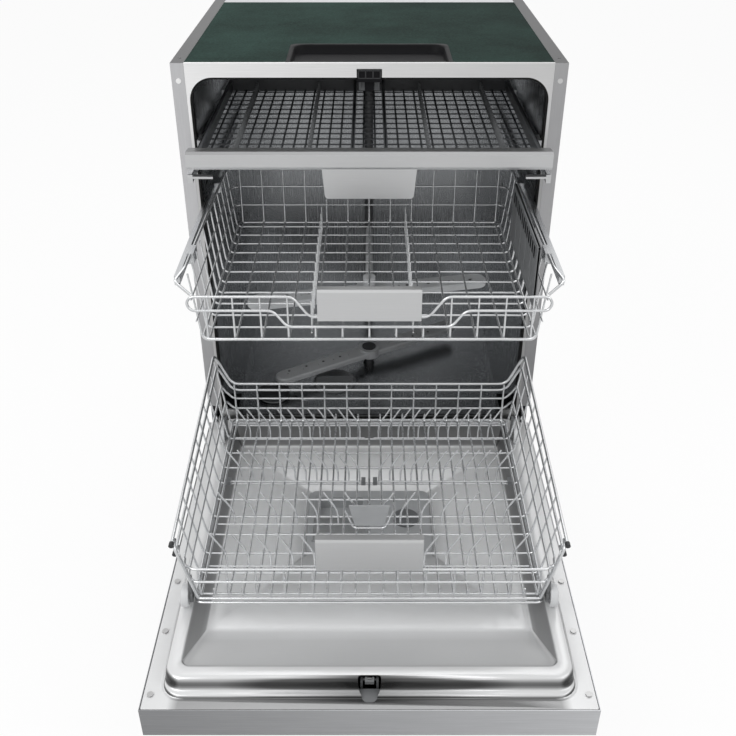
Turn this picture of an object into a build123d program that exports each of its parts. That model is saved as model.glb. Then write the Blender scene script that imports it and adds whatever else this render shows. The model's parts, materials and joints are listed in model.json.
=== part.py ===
from build123d import *
import math
import os

os.makedirs("parts", exist_ok=True)

# A built-in dishwasher with its door let down and its three racks drawn out.
# Sizes are in millimetres. X runs to the right, Y to the rear and Z up. The cabinet's front plane is y = 0,
# the floor is z = 0 and the middle of the cabinet is x = 0.

# Driving dimensions: cabinet
cabinet_width = 598
cabinet_height = 820
cabinet_depth = 498
panel_sheet = 1.2
tub_sheet = 1.0
fit = 0.4
running_gap = 0.05
trim_width = 20.2
frame_depth = 5
mouth_inset = 25
mouth_drop = 21.5
mouth_corner = 36
mouth_step = 3
tub_headroom = 4.5
tub_corner = 38
tub_floor = 140
tub_rear_gap = 13
sill_height = 172
ledge_width = 33
gasket_width = 3.1
gasket_depth = 12
recess_width = 250
recess_length = 116
recess_drop = 14
recess_corner = 8
rear_bar_depth = 36
rear_bar_height = 14
panel_flange = 14
base_bottom = 22
base_top = 112
base_wall = 3
base_front = 40
base_rear_recess = 30
plinth_gap = 3
foot_radius = 22
foot_pad = 12
foot_stud_radius = 5
foot_boss = 24

# Driving dimensions: door
hinge_height = 168
hinge_reach = 3
door_top_drop = 11
door_thickness = 50
door_side_gap = 2
door_heel = 10
plug_height = 20
plug_side_gap = 3.5
plug_top_gap = 7.5
plug_start = 21.5
plug_front_slope = 18
plug_crest = 21
recess_side_slope = 17
recess_front_slope = 92
door_recess_depth = 40
door_corner = 30
pivot_radius = 4
hinge_plate = 3
hinge_inset = 12
lever_length = 40
spring_length = 177
spring_radius = 5.5
latch_pin_radius = 2
button_radius = 6
dispenser_width = 200
dispenser_length = 150
dispenser_centre = 262
chamber_width = 75
chamber_length = 50
rinse_hole_radius = 17
lid_overlap = 4
screw_radius = 2.0
screw_head_radius = 4.2

# Driving dimensions: racks
wire = 2.0
wire_lap = 1.7
tine_wire = 1.6
rack_front_gap = 28
rack_rear_gap = 5
wheel_radius = 16.8
wheel_width = 11.4
wheel_gap = 0.5
axle_radius = 3
wheel_stop = 145.3
lower_floor_rise = 17
lower_side_gap = 29
lower_rim_gap = 10
lower_front_height = 54
lower_rim_front_height = 109
lower_rim_rear_height = 140
lower_rear_height = 78
lower_handle_rise = 69
lower_handle_height = 55
middle_travel = 305
middle_drop = 301.5
middle_side_gap = 36
middle_rim_gap = 22
middle_front_height = 74
middle_height = 103
middle_handle_rise = 42
middle_handle_height = 49
tray_travel = 140
tray_drop = 78.5
tray_bar_height = 26
tray_bar_depth = 31
tray_depth = 30
tray_side_gap = 18
tray_wall = 2
tray_handle_drop = 45
handle_width = 145
handle_sheet = 2.5
handle_reach = 13
wire_pitch = 38
cross_pitch = 58
tine_pitch = 17.5
tine_foot = 27
tine_lean = 30
tine_reach = 42
middle_tine_rows = (-84, 64)
middle_tine_pitch = 32
middle_tine_height = 48
fold_row_place = 250
fixed_row_places = (60, 150, 372)
shelf_length = 230
shelf_rise = 56
shelf_height = 86
shelf_sheet = 4

# Driving dimensions: rails, from the tub's wall inwards
fixed_rail_height = 18
fixed_rail_reach = 6.4
rail_sheet = 2
rail_lip = 1.5
rail_length = 430
rail_front_gap = 40
runner_width = 5
middle_rail_rise = 94
tray_rail_drop = 43

# Driving dimensions: water parts
arm_length = 430
middle_arm_length = 400
arm_width = 38
arm_thickness = 10
arm_hub = 22
arm_pin = 10
arm_cap = 14
lower_arm_rise = 26
lower_arm_turn = 31
middle_arm_turn = 12
arm_centre = 240
arm_collar = 4
pipe_radius = 9
pipe_rear_gap = 13
port_radius = 9
port_length = 6
tube_radius = 6
filter_place = (-70, 165)
filter_radius = 38
salt_place = (-190, 120)
salt_radius = 28
drain_place = (200, 80)
drain_radius = 10
inlet_place = (-200, 80)
inlet_thread_radius = 13.2
inlet_thread_length = 18
gland_place = (120, 80)
gland_radius = 5
fixing_hole_radius = 2.5
fixing_hole_place = 30

# Worked out from the driving dimensions
half_width = cabinet_width / 2
mouth_half = half_width - mouth_inset
mouth_top = cabinet_height - mouth_drop
tub_half = mouth_half + mouth_step
tub_top = mouth_top + tub_headroom
tub_front = frame_depth + 0.2
tub_rear = cabinet_depth - tub_rear_gap
hinge_y = -hinge_reach
track = hinge_height + plug_height
floor_half = tub_half - ledge_width
frame_half = half_width - trim_width - fit / 2
door_length = cabinet_height - hinge_height - door_top_drop
door_half = half_width - door_side_gap
plug_half = mouth_half - plug_side_gap
plug_end = mouth_top - hinge_height - plug_top_gap
door_under = hinge_height - door_thickness
axle_height = track + wheel_gap + wheel_radius
axle_reach = plug_end - wheel_stop
lower_travel = axle_reach + axle_height - hinge_height
pipe_y = tub_rear - pipe_rear_gap
rack_depth = pipe_y - pipe_radius - rack_rear_gap - rack_front_gap
lower_front = rack_front_gap - lower_travel
lower_axle_y = hinge_y - axle_reach
lower_rear = lower_front + rack_depth
rear_wheel_y = lower_rear - 43
lower_base = track + lower_floor_rise
lower_base_half = mouth_half - lower_side_gap
lower_rim_half = mouth_half - lower_rim_gap
middle_front = rack_front_gap + 2 - middle_travel
middle_rear = middle_front + rack_depth
middle_base = mouth_top - middle_drop
middle_base_half = mouth_half - middle_side_gap
middle_rim_half = mouth_half - middle_rim_gap
tray_front_edge = rack_front_gap + 1 - tray_travel
tray_back = tray_front_edge + rack_depth
tray_bar_top = mouth_top - tray_drop
tray_half = mouth_half - tray_side_gap
hinge_plate_inner = half_width - hinge_inset + 1.5
spring_front = hinge_y + lever_length + 1
dispenser_floor = track - door_recess_depth
dispenser_top = dispenser_floor + 3
dispenser_y = hinge_y - dispenser_centre
chamber_x = (14 - dispenser_width / 2, 14 - dispenser_width / 2 + chamber_width)
chamber_y = (dispenser_y + 8, dispenser_y + 8 + chamber_length)
rinse_place = (dispenser_width / 2 - 40, dispenser_y + 4)
base_half = hinge_plate_inner - 0.1
wheel_outer = lower_base_half + 8.1 + wheel_width
tine_ends = (8, lower_base_half - 12)
fold_row_y = lower_front + fold_row_place
fold_rod_height = lower_base + wire + 2 * tine_wire + 0.6
shelf_x = middle_base_half - 8
shelf_hinge_height = middle_base + shelf_rise
middle_rail_height = middle_base + middle_rail_rise
tray_rail_height = tray_bar_top - tray_rail_drop
slide_rail_outer = mouth_half - gasket_width - 0.7
slide_rail_height = fixed_rail_height - 4
slide_rail_reach = 7
runner_outer = slide_rail_outer - rail_sheet - 0.6
runner_height = slide_rail_height - 2 * rail_lip - 1.8
middle_arm_y = (middle_front + middle_rear) / 2
tube_height = middle_base - (wire_lap + 1) * wire - tube_radius - 1.6
middle_arm_low = tube_height - tube_radius - arm_collar - arm_thickness - 1
base_rear = cabinet_depth - base_rear_recess


def front_view(y):
    """A plane across the object at y, drawn as seen from the front: right is X and up is Z."""
    return Plane(origin=(0, y, 0), x_dir=(1, 0, 0), z_dir=(0, -1, 0))


def side_view(x):
    """A plane along the object at x, drawn as seen from the right: right is Y and up is Z."""
    return Plane(origin=(x, 0, 0), x_dir=(0, 1, 0), z_dir=(1, 0, 0))


def save(piece, name):
    """Name a finished piece and write its file."""
    piece.part.label = name
    export_step(piece.part, f"parts/{name}.step")


def block(x, y, z, mode=Mode.ADD):
    """A box between the low and high ends given for each axis."""
    with Locations((x[0], y[0], z[0])):
        Box(x[1] - x[0], y[1] - y[0], z[1] - z[0], align=(Align.MIN, Align.MIN, Align.MIN), mode=mode)


def blocks(x, y, z, mode=Mode.ADD):
    """The same box on the right and, mirrored, on the left."""
    block(x, y, z, mode)
    block((-x[1], -x[0]), y, z, mode)


def rod(start, direction, length, radius, mode=Mode.ADD):
    """A round bar from a start point along a direction."""
    with Locations(Plane(origin=start, z_dir=direction)):
        Cylinder(radius, length, align=(Align.CENTER, Align.CENTER, Align.MIN), mode=mode)


def rods(start, direction, length, radius, mode=Mode.ADD):
    """The same bar on the right and, mirrored, on the left."""
    rod(start, direction, length, radius, mode)
    rod((-start[0], start[1], start[2]), (-direction[0], direction[1], direction[2]), length, radius, mode)


def weld(wires, radius):
    """Round wires between pairs of points, welded into the piece that is being made."""
    bars = []
    for start, end in wires:
        run = Vector(*end) - Vector(*start)
        bar = Cylinder(
            radius, run.length, align=(Align.CENTER, Align.CENTER, Align.MIN), mode=Mode.PRIVATE
        )
        bars.append(Plane(origin=start, z_dir=run) * bar)
    add(bars)


def spread(low, high, pitch):
    """Evenly spaced places from low to high, about a pitch apart."""
    steps = max(1, round((high - low) / pitch))
    return [low + (high - low) * i / steps for i in range(steps + 1)]


def spread_from_middle(half, pitch):
    """Evenly spaced places from -half to half, one of them at the middle."""
    steps = max(1, round(half / pitch))
    return [half * i / steps for i in range(-steps, steps + 1)]


def rounded_block(centre, width, length, corner, low, high, mode=Mode.ADD):
    """An upright block with rounded corners between two heights."""
    with BuildSketch(Plane.XY.offset(low)) as outline:
        with Locations(centre):
            RectangleRounded(width, length, corner)
    extrude(outline.sketch, amount=high - low, mode=mode)


def pressed_block(low, high, mode=Mode.ADD):
    """A tapered block between two rounded rectangles, each (half width, y low, y high, height, corner)."""
    faces = []
    for half, rear_y, front_y, height, corner in (low, high):
        with BuildSketch(Plane.XY.offset(height)) as outline:
            with Locations((0, (rear_y + front_y) / 2)):
                RectangleRounded(2 * half, abs(front_y - rear_y), corner)
        faces.append(outline.sketch.faces()[0])
    loft(faces, ruled=True, mode=mode)


# Cabinet


def cavity_outline(plane, half, bottom, top, corner, grow=0):
    """The tub's cavity from the front, grown all round: wide above the wheel ledges, narrow below them."""
    with BuildSketch(plane) as outline:
        Polygon(
            (-floor_half - grow, bottom - grow),
            (floor_half + grow, bottom - grow),
            (floor_half + grow, track - grow),
            (half + grow, track - grow),
            (half + grow, top + grow),
            (-half - grow, top + grow),
            (-half - grow, track - grow),
            (-floor_half - grow, track - grow),
        )
        fillet(outline.vertices().sort_by(Axis.Y)[-2:], corner + grow)
    return outline.sketch


def make_tub():
    """Pressed steel tub, open at the front, with ledges for the lower wheels and holes in its floor."""
    depth = tub_rear - tub_front
    cavity = (tub_half, tub_floor, tub_top, tub_corner)
    sill_y = (tub_front, tub_front + tub_sheet)
    hole_depth = 3 * tub_sheet
    below = tub_floor - 2 * tub_sheet
    with BuildPart() as tub:
        extrude(cavity_outline(front_view(tub_front), *cavity, grow=tub_sheet), amount=-(depth + tub_sheet))
        extrude(cavity_outline(front_view(tub_front), *cavity), amount=-depth, mode=Mode.SUBTRACT)
        block((-floor_half, floor_half), sill_y, (tub_floor - tub_sheet, sill_height))
        for place, radius in (
            (filter_place, filter_radius + 12),
            (salt_place, salt_radius + 2),
            ((0, arm_centre), arm_pin + 2),
            ((0, pipe_y), pipe_radius + fit),
        ):
            rod((*place, below), (0, 0, 1), hole_depth, radius, Mode.SUBTRACT)
    return tub


def make_front_frame():
    """Bright steel frame round the tub's mouth, hollow behind its top and bottom bars."""
    bottom = sill_height - mouth_drop
    mouth = cavity_outline(front_view(0), mouth_half, sill_height, mouth_top, mouth_corner)
    inner = frame_half - 2 * panel_sheet
    pocket_y = (panel_sheet, frame_depth)
    top_pocket = (mouth_top + panel_sheet, cabinet_height - panel_sheet)
    bottom_pocket = (bottom + panel_sheet, sill_height - panel_sheet)
    with BuildPart() as frame:
        block((-frame_half, frame_half), (0, frame_depth), (bottom, cabinet_height))
        extrude(mouth, amount=-frame_depth, mode=Mode.SUBTRACT)
        block((-inner, inner), pocket_y, top_pocket, Mode.SUBTRACT)
        block((-floor_half, floor_half), pocket_y, bottom_pocket, Mode.SUBTRACT)
    return frame


def make_gasket():
    """Black rubber seal inside the mouth, along its sides and over its top."""
    front = 1.0
    bottom = track + 4
    squeeze = 0.1
    with BuildPart() as gasket:
        for inset, mode in ((squeeze, Mode.ADD), (gasket_width, Mode.SUBTRACT)):
            half, top = mouth_half - inset, mouth_top - inset
            with BuildSketch(front_view(front)) as outline:
                Polygon((-half, bottom), (half, bottom), (half, top), (-half, top))
                fillet(outline.vertices().sort_by(Axis.Y)[-2:], mouth_corner - inset)
            extrude(outline.sketch, amount=-gasket_depth, mode=mode)
    return gasket


def make_side_panels():
    """Outer sheet on each side, with a flange turned in at the rear."""
    side_y = (20 + fit, cabinet_depth)
    flange_y = (cabinet_depth - panel_sheet, cabinet_depth)
    z = (base_bottom + 6, cabinet_height - 2)
    with BuildPart() as panels:
        blocks((half_width - panel_sheet, half_width), side_y, z)
        blocks((half_width - panel_flange, half_width), flange_y, z)
    return panels


def make_side_trims():
    """Grey strips down the front edges and back along the top edges, with the worktop's screw holes."""
    inner = half_width - trim_width
    skin = 1.5
    return_depth = 20
    front_z = (track + 8, cabinet_height)
    hole_x = half_width - trim_width / 2
    hole_start = cabinet_height - 2 * skin
    with BuildPart() as trims:
        blocks((inner, half_width), (0, skin), front_z)
        blocks((half_width - panel_sheet, half_width), (0, return_depth), front_z)
        blocks((inner, half_width), (0, cabinet_depth), (cabinet_height - skin, cabinet_height))
        hole = (hole_x, fixing_hole_place, hole_start)
        rods(hole, (0, 0, 1), 3 * skin, fixing_hole_radius, Mode.SUBTRACT)
    return trims


def make_top_sheet():
    """Dark sheet over the tub, cut out at the front for the recess."""
    front = frame_depth + fit
    rear = cabinet_depth - rear_bar_depth - fit
    z = (cabinet_height - panel_sheet, cabinet_height)
    recess_y = (front, front + recess_length)
    with BuildPart() as top:
        block((-frame_half, frame_half), (front, rear), z)
        block((-recess_width / 2, recess_width / 2), recess_y, z, Mode.SUBTRACT)
        inside = top.edges().filter_by(Axis.Z).filter_by(lambda edge: abs(edge.center().X) < recess_width)
        fillet(inside.filter_by(lambda edge: edge.center().Y > recess_y[1] - 1), recess_corner)
    return top


def make_top_recess():
    """Black tray sunk in the top, with a bar across its front."""
    half = recess_width / 2 - fit
    front = frame_depth + 2 * fit
    rear = frame_depth + recess_length
    low = cabinet_height - recess_drop
    wall = 1.5
    inside = (-half + wall, half - wall)
    bar_depth = 34
    with BuildPart() as recess:
        block((-half, half), (front, rear), (low, cabinet_height))
        fillet(recess.edges().filter_by(Axis.Z).group_by(Axis.Y)[-1], recess_corner)
        block(inside, (front + wall, rear - wall), (low + wall, cabinet_height), Mode.SUBTRACT)
        with BuildSketch(side_view(inside[0])) as bar:
            Polygon(
                (front + wall, low + wall),
                (front + bar_depth, low + wall),
                (front + bar_depth - 8, low + recess_drop / 2),
                (front + wall, cabinet_height - 2),
            )
        extrude(bar.sketch, amount=inside[1] - inside[0])
    return recess


def make_rear_panel():
    """Galvanised rear sheet, and the light folded bar along the top's rear edge."""
    half = half_width - panel_flange - 2
    rear = cabinet_depth - 2
    bar_front = cabinet_depth - rear_bar_depth
    bar_x = (-frame_half, frame_half)
    bar_z = (cabinet_height - rear_bar_height, cabinet_height)
    with BuildPart() as rear_panel:
        block((-half, half), (rear - panel_sheet, rear), (base_top + 4, cabinet_height - 2))
        block(bar_x, (bar_front, cabinet_depth), (cabinet_height - panel_sheet, cabinet_height))
        block(bar_x, (bar_front, bar_front + panel_sheet), bar_z)
        block(bar_x, (rear - panel_sheet, cabinet_depth), bar_z)
    return rear_panel


def make_plinth():
    """Kick plate under the door, set back over the toes."""
    half = half_width - plinth_gap
    rear = base_front - plinth_gap
    sheet = 2
    with BuildPart() as plinth:
        block((-half, half), (rear - sheet, rear), (foot_pad + plinth_gap, base_top))
    return plinth


def foot_places():
    """Left and right, front and rear."""
    x = base_half - 35
    return [(side * x, y) for side in (-1, 1) for y in (base_front + 20, base_rear - 30)]


def make_feet():
    """Four levelling feet: a round pad on a threaded stud."""
    stud_top = base_bottom + foot_boss - 4
    with BuildPart() as feet:
        for x, y in foot_places():
            rod((x, y, 0), (0, 0, 1), foot_pad, foot_radius)
            rod((x, y, foot_pad), (0, 0, 1), stud_top - foot_pad, foot_stud_radius)
        circles = feet.edges().filter_by(GeomType.CIRCLE)
        chamfer(circles.filter_by(lambda edge: edge.radius > foot_radius - 1), 1.5)
    return feet


def make_base_pan():
    """Moulded tray under the tub: floor, walls, ribs that carry the tub's ledges, and foot bosses."""
    rib_x = (floor_half + 18, floor_half + 22)
    rib_top = track - tub_sheet - 0.2
    boss_radius = 12
    stud_hole = foot_stud_radius + running_gap
    inner = base_half - base_wall
    inside_y = (base_front + base_wall, base_rear - base_wall)
    wall_y = base_rear - base_wall - 1
    through = base_wall + 2
    gland_wall = 4
    gland_length = through + 7
    with BuildPart() as base:
        block((-base_half, base_half), (base_front, base_rear), (base_bottom, base_top))
        block((-inner, inner), inside_y, (base_bottom + base_wall, base_top), Mode.SUBTRACT)
        blocks(rib_x, inside_y, (base_bottom, rib_top))
        for x, y in foot_places():
            rod((x, y, base_bottom), (0, 0, 1), foot_boss, boss_radius)
        for x, y in foot_places():
            rod((x, y, base_bottom - 1), (0, 0, 1), foot_boss, stud_hole, Mode.SUBTRACT)
        x, z = gland_place
        rod((x, wall_y, z), (0, 1, 0), gland_length, gland_radius + gland_wall)
        rod((x, wall_y - 1, z), (0, 1, 0), gland_length + 2, gland_radius, Mode.SUBTRACT)
        for (x, z), radius in ((drain_place, drain_radius), (inlet_place, inlet_thread_radius)):
            rod((x, wall_y, z), (0, 1, 0), through, radius + fit, Mode.SUBTRACT)
    return base


def make_hinge_brackets():
    """Bracket on each side of the base: the door's pin, and a strip back to the spring's anchor."""
    plate_x = (hinge_plate_inner, hinge_plate_inner + hinge_plate)
    anchor_y = (spring_front + spring_length, spring_front + spring_length + hinge_plate)
    top = hinge_height + 7
    strip_z = (hinge_height - 28, hinge_height - 12)
    foot_z = (base_top - 30, hinge_height - 20)
    pin_start = hinge_plate_inner - 1.5 - hinge_plate - 1
    with BuildPart() as brackets:
        blocks(plate_x, (hinge_y - 6, base_front + 20), (strip_z[1], top))
        blocks(plate_x, (base_front, base_front + 60), foot_z)
        blocks(plate_x, (base_front, anchor_y[1]), strip_z)
        blocks((plate_x[0] - 5, plate_x[1]), anchor_y, (strip_z[0], top))
        rods((pin_start, hinge_y, hinge_height), (1, 0, 0), plate_x[0] - pin_start + 1, pivot_radius)
    return brackets


def make_door_springs():
    """Balance spring in each side of the base, from the hinge's lever back to the anchor."""
    x = half_width - hinge_inset - hinge_plate / 2
    hook_radius = 1.2
    front_hook, rear_hook = 25, 15
    coil_length = spring_length - front_hook - rear_hook
    with BuildPart() as springs:
        rods((x, spring_front, hinge_height), (0, 1, 0), spring_length, hook_radius)
        rods((x, spring_front + front_hook, hinge_height), (0, 1, 0), coil_length, spring_radius)
    return springs


def make_sump():
    """Moulded sump under the tub's floor: the filter's well, a duct to the arm's post, and the post."""
    low = tub_floor - 48
    floor = 3
    duct_width, duct_height = 30, 24
    top = tub_floor - tub_sheet - fit
    x, y = filter_place
    arm_top = tub_floor + lower_arm_rise + arm_thickness + arm_collar
    with BuildPart() as sump:
        rod((x, y, low), (0, 0, 1), top - low, filter_radius + 10)
        rod((0, arm_centre, low), (0, 0, 1), top - low, arm_hub)
        with BuildSketch(Plane.XY.offset(low)) as duct:
            turn = math.degrees(math.atan2(arm_centre - y, -x))
            with Locations(Location((x / 2, (arm_centre + y) / 2), turn)):
                Rectangle(math.hypot(x, arm_centre - y), duct_width)
        extrude(duct.sketch, amount=duct_height)
        rod((x, y, low + floor), (0, 0, 1), top - low, filter_radius + fit, Mode.SUBTRACT)
        rod((0, arm_centre, top), (0, 0, 1), arm_top + 3 - top, arm_pin)
        rod((0, arm_centre, arm_top + fit), (0, 0, 1), 3, arm_cap)
    return sump


def make_fine_filter():
    """Flat stainless filter plate on the tub's floor, holed for the filter cup and the arm's post."""
    low = tub_floor + fit
    centre = (-45, 195)
    width, length, corner = 210, 190, 30
    with BuildPart() as plate:
        rounded_block(centre, width, length, corner, low, low + tub_sheet)
        for place, radius in ((filter_place, filter_radius), ((0, arm_centre), arm_pin)):
            rod((*place, low - 1), (0, 0, 1), 3 * tub_sheet, radius + 2, Mode.SUBTRACT)
    return plate


def make_filter_cup():
    """Coarse filter that lifts out of the sump after a quarter turn: a cup with a rim and a grip."""
    low = tub_floor - 43
    rim = tub_floor + 4
    wall = 2
    x, y = filter_place
    grip_half = filter_radius - wall / 2
    with BuildPart() as cup:
        rod((x, y, low), (0, 0, 1), rim - low, filter_radius)
        rod((x, y, rim - wall), (0, 0, 1), wall, filter_radius + 5)
        rod((x, y, low + wall), (0, 0, 1), rim - low, filter_radius - wall, Mode.SUBTRACT)
        block((x - grip_half, x + grip_half), (y - 3, y + 3), (low + 1, rim + 10))
    return cup


def make_lower_spray_arm():
    """Spray arm over the sump."""
    return spray_arm((0, arm_centre), arm_length, tub_floor + lower_arm_rise, lower_arm_turn)


def spray_arm(centre, length, low, turn):
    """A flat two-ended arm with a hub, turned about its centre, with a row of jets on each half."""
    hub_low = low - arm_collar
    hub_height = arm_thickness + 2 * arm_collar
    jet_depth, jet_radius = 4, 2
    jet_reach = spread(50, length / 2 - 25, (length / 2 - 75) / 4)
    along = Vector(math.cos(math.radians(turn)), math.sin(math.radians(turn)))
    with BuildPart() as arm:
        with BuildSketch(Plane.XY.offset(low)) as outline:
            with Locations(Location((centre[0], centre[1]), turn)):
                SlotOverall(length, arm_width)
        extrude(outline.sketch, amount=arm_thickness)
        chamfer(arm.edges().group_by(Axis.Z)[-1], 2.5)
        rod((*centre, hub_low), (0, 0, 1), hub_height, arm_hub)
        rod((*centre, hub_low - 1), (0, 0, 1), hub_height + 2, arm_pin + running_gap, Mode.SUBTRACT)
        for reach in [side * place for side in (-1, 1) for place in jet_reach]:
            jet = Vector(*centre) + along * reach
            bottom = low + arm_thickness - jet_depth
            rod((jet.X, jet.Y, bottom), (0, 0, 1), jet_depth + 1, jet_radius, Mode.SUBTRACT)
    return arm


def make_feed_pipe():
    """Riser up the tub's rear wall and along its ceiling to a shower head, with a port for the middle arm."""
    top = tub_top - pipe_radius - 4
    bottom = tub_floor - 8
    head_height = 20
    rear = pipe_y + pipe_radius
    with BuildPart() as pipe:
        rod((0, pipe_y, bottom), (0, 0, 1), top - bottom, pipe_radius)
        rod((0, rear, top), (0, -1, 0), rear - arm_centre, pipe_radius)
        rod((0, arm_centre, top + 8 - head_height), (0, 0, 1), head_height, arm_hub)
        rod((0, pipe_y, tube_height), (0, -1, 0), pipe_radius + port_length, port_radius)
    return pipe


def make_striker():
    """Black catch plate on the frame's top bar, with the tongue that the door's latch holds."""
    plug_top = hinge_height + plug_end
    under_gasket = mouth_top - gasket_width - 0.3
    x = (-19, 19)
    plate_y = (-1.6, -0.2)
    plate_top = mouth_top + 12.5
    tongue_x = (-7, 7)
    with BuildPart() as striker:
        block(x, plate_y, (plug_top + 1, plate_top))
        block(x, (plate_y[1], 0), (mouth_top + 4, plate_top))
        block(x, (plate_y[0], 30), (plug_top + 1, under_gasket))
        block(tongue_x, (4, 14), (plug_top - 14, under_gasket))
        rod((tongue_x[0] - 1, 9, plug_top - 8), (1, 0, 0), tongue_x[1] - tongue_x[0] + 2, 3, Mode.SUBTRACT)
    return striker


def make_circulation_pump():
    """Wash pump: volute, motor can and the duct up to the sump."""
    y, z = 150, base_bottom + 52
    volute_x, motor_x, cap_x = 30, 70, 160
    duct_start = (filter_place[0] + filter_radius + 10 + fit, y, z + 26)
    with BuildPart() as pump:
        rod((volute_x, y, z), (1, 0, 0), motor_x - volute_x, 42)
        rod((motor_x, y, z), (1, 0, 0), cap_x - motor_x, 36)
        rod((cap_x, y, z), (1, 0, 0), 12, 20)
        rod(duct_start, (1, 0, 0), 75, 12)
    return pump


def make_drain_pump():
    """Drain pump with the spigot that the drain hose pushes onto."""
    x, z = drain_place
    motor_length, motor_radius = 80, 26
    motor_rear = base_rear - 58
    neck_end = base_rear + 2
    spigot = 24
    bore = drain_radius - 3
    with BuildPart() as pump:
        rod((x, motor_rear - motor_length, z), (0, 1, 0), motor_length, motor_radius)
        rod((x, motor_rear, z), (0, 1, 0), neck_end - motor_rear, drain_radius - 1.5)
        rod((x, neck_end, z), (0, 1, 0), spigot, drain_radius)
        rod((x, motor_rear + 4, z), (0, 1, 0), neck_end + spigot - motor_rear, bore, Mode.SUBTRACT)
    return pump


def make_inlet_valve():
    """Solenoid valve with the threaded stub that the water hose screws onto."""
    x, z = inlet_place
    body_rear = base_rear - base_wall - 4
    thread_start = base_rear + 0.5
    bore = inlet_thread_radius - 5
    neck = thread_start - body_rear
    with BuildPart() as valve:
        block((x - 18, x + 18), (body_rear - 40, body_rear), (z - 16, z + 26))
        rod((x, body_rear, z), (0, 1, 0), neck, inlet_thread_radius - 1.7)
        rod((x, thread_start, z), (0, 1, 0), inlet_thread_length, inlet_thread_radius)
        rod((x, body_rear + 2, z), (0, 1, 0), neck + inlet_thread_length, bore, Mode.SUBTRACT)
    return valve


def make_water_softener():
    """Softener tank under the tub's floor, with its filler neck standing through the floor."""
    x, y = salt_place
    width, length, corner = 100, 110, 12
    low, top = base_bottom + 6, tub_floor - 8
    neck_top = tub_floor + 3
    bore_low = low + 6
    with BuildPart() as softener:
        rounded_block((x, y + 10), width, length, corner, low, top)
        rod((x, y, top - 1), (0, 0, 1), neck_top - top + 1, salt_radius)
        rod((x, y, bore_low), (0, 0, 1), neck_top - bore_low + 1, salt_radius - 6, Mode.SUBTRACT)
    return softener


def make_salt_cap():
    """Screw cap on the softener's neck: a disc, a grip across it and a plug inside the neck."""
    x, y = salt_place
    low = tub_floor + 3 + fit
    thickness, plug = 8, 12
    grip_z = (low + thickness, low + thickness + 7)
    with BuildPart() as cap:
        rod((x, y, low), (0, 0, 1), thickness, salt_radius + 3)
        rod((x, y, low - plug), (0, 0, 1), plug, salt_radius - 6 - fit)
        block((x - 20, x + 20), (y - 3, y + 3), grip_z)
    return cap


# Rails


def rail_walls(outer, z_centre, y, height, reach):
    """A C-shaped rail on each side: a web at its outer face and two lips that reach inwards."""
    low, high = z_centre - height / 2, z_centre + height / 2
    blocks((outer - rail_sheet, outer), y, (low, high))
    blocks((outer - reach, outer), y, (high - rail_lip, high))
    blocks((outer - reach, outer), y, (low, low + rail_lip))


def make_fixed_rails():
    """The two pairs of rails that are screwed to the tub's walls, for the middle rack and the tray."""
    y = (tub_front + 15, rail_front_gap + rail_length)
    with BuildPart() as rails:
        for height in (middle_rail_height, tray_rail_height):
            rail_walls(tub_half - fit, height, y, fixed_rail_height, fixed_rail_reach)
    return rails


def slide_rails(z_centre, travel):
    """The rails between a fixed pair and a rack's runners, drawn out by the rack's travel."""
    y = (rail_front_gap - travel, rail_front_gap - travel + rail_length)
    with BuildPart() as rails:
        rail_walls(slide_rail_outer, z_centre, y, slide_rail_height, slide_rail_reach)
    return rails


def runners(z_centre, travel, hanger, hanger_top):
    """A rack's own rail on each side, with the two blocks that hang the rack on it."""
    y = (rail_front_gap + 2 - travel, rail_front_gap - 2 - travel + rail_length)
    inner = runner_outer - runner_width
    low = z_centre - runner_height / 2
    hanger_length = 30
    with BuildPart() as bars:
        blocks((inner, runner_outer), y, (low, low + runner_height))
        for place in (y[0] + 2 * hanger_length, y[1] - 3 * hanger_length):
            blocks((hanger, inner), (place, place + hanger_length), (low, hanger_top))
    return bars


# Door


def make_door_outer_panel():
    """Brushed steel outer door: a sheet tray, with holes for the buttons."""
    y = (hinge_y - door_length, hinge_y - door_heel)
    inner_half = door_half - panel_sheet
    with BuildPart() as outer:
        block((-door_half, door_half), y, (door_under, hinge_height))
        inside_y = (y[0] + panel_sheet, y[1])
        block((-inner_half, inner_half), inside_y, (door_under + panel_sheet, hinge_height), Mode.SUBTRACT)
        for x, button_y in button_places():
            rod((x, button_y, door_under - 1), (0, 0, 1), 3, button_radius + 0.3, Mode.SUBTRACT)
    return outer


def button_places():
    """Where the buttons stand on the outer door, near its top edge."""
    y = hinge_y - door_length + 24
    return [(-160, y), (-120, y), (160, y)]


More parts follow.
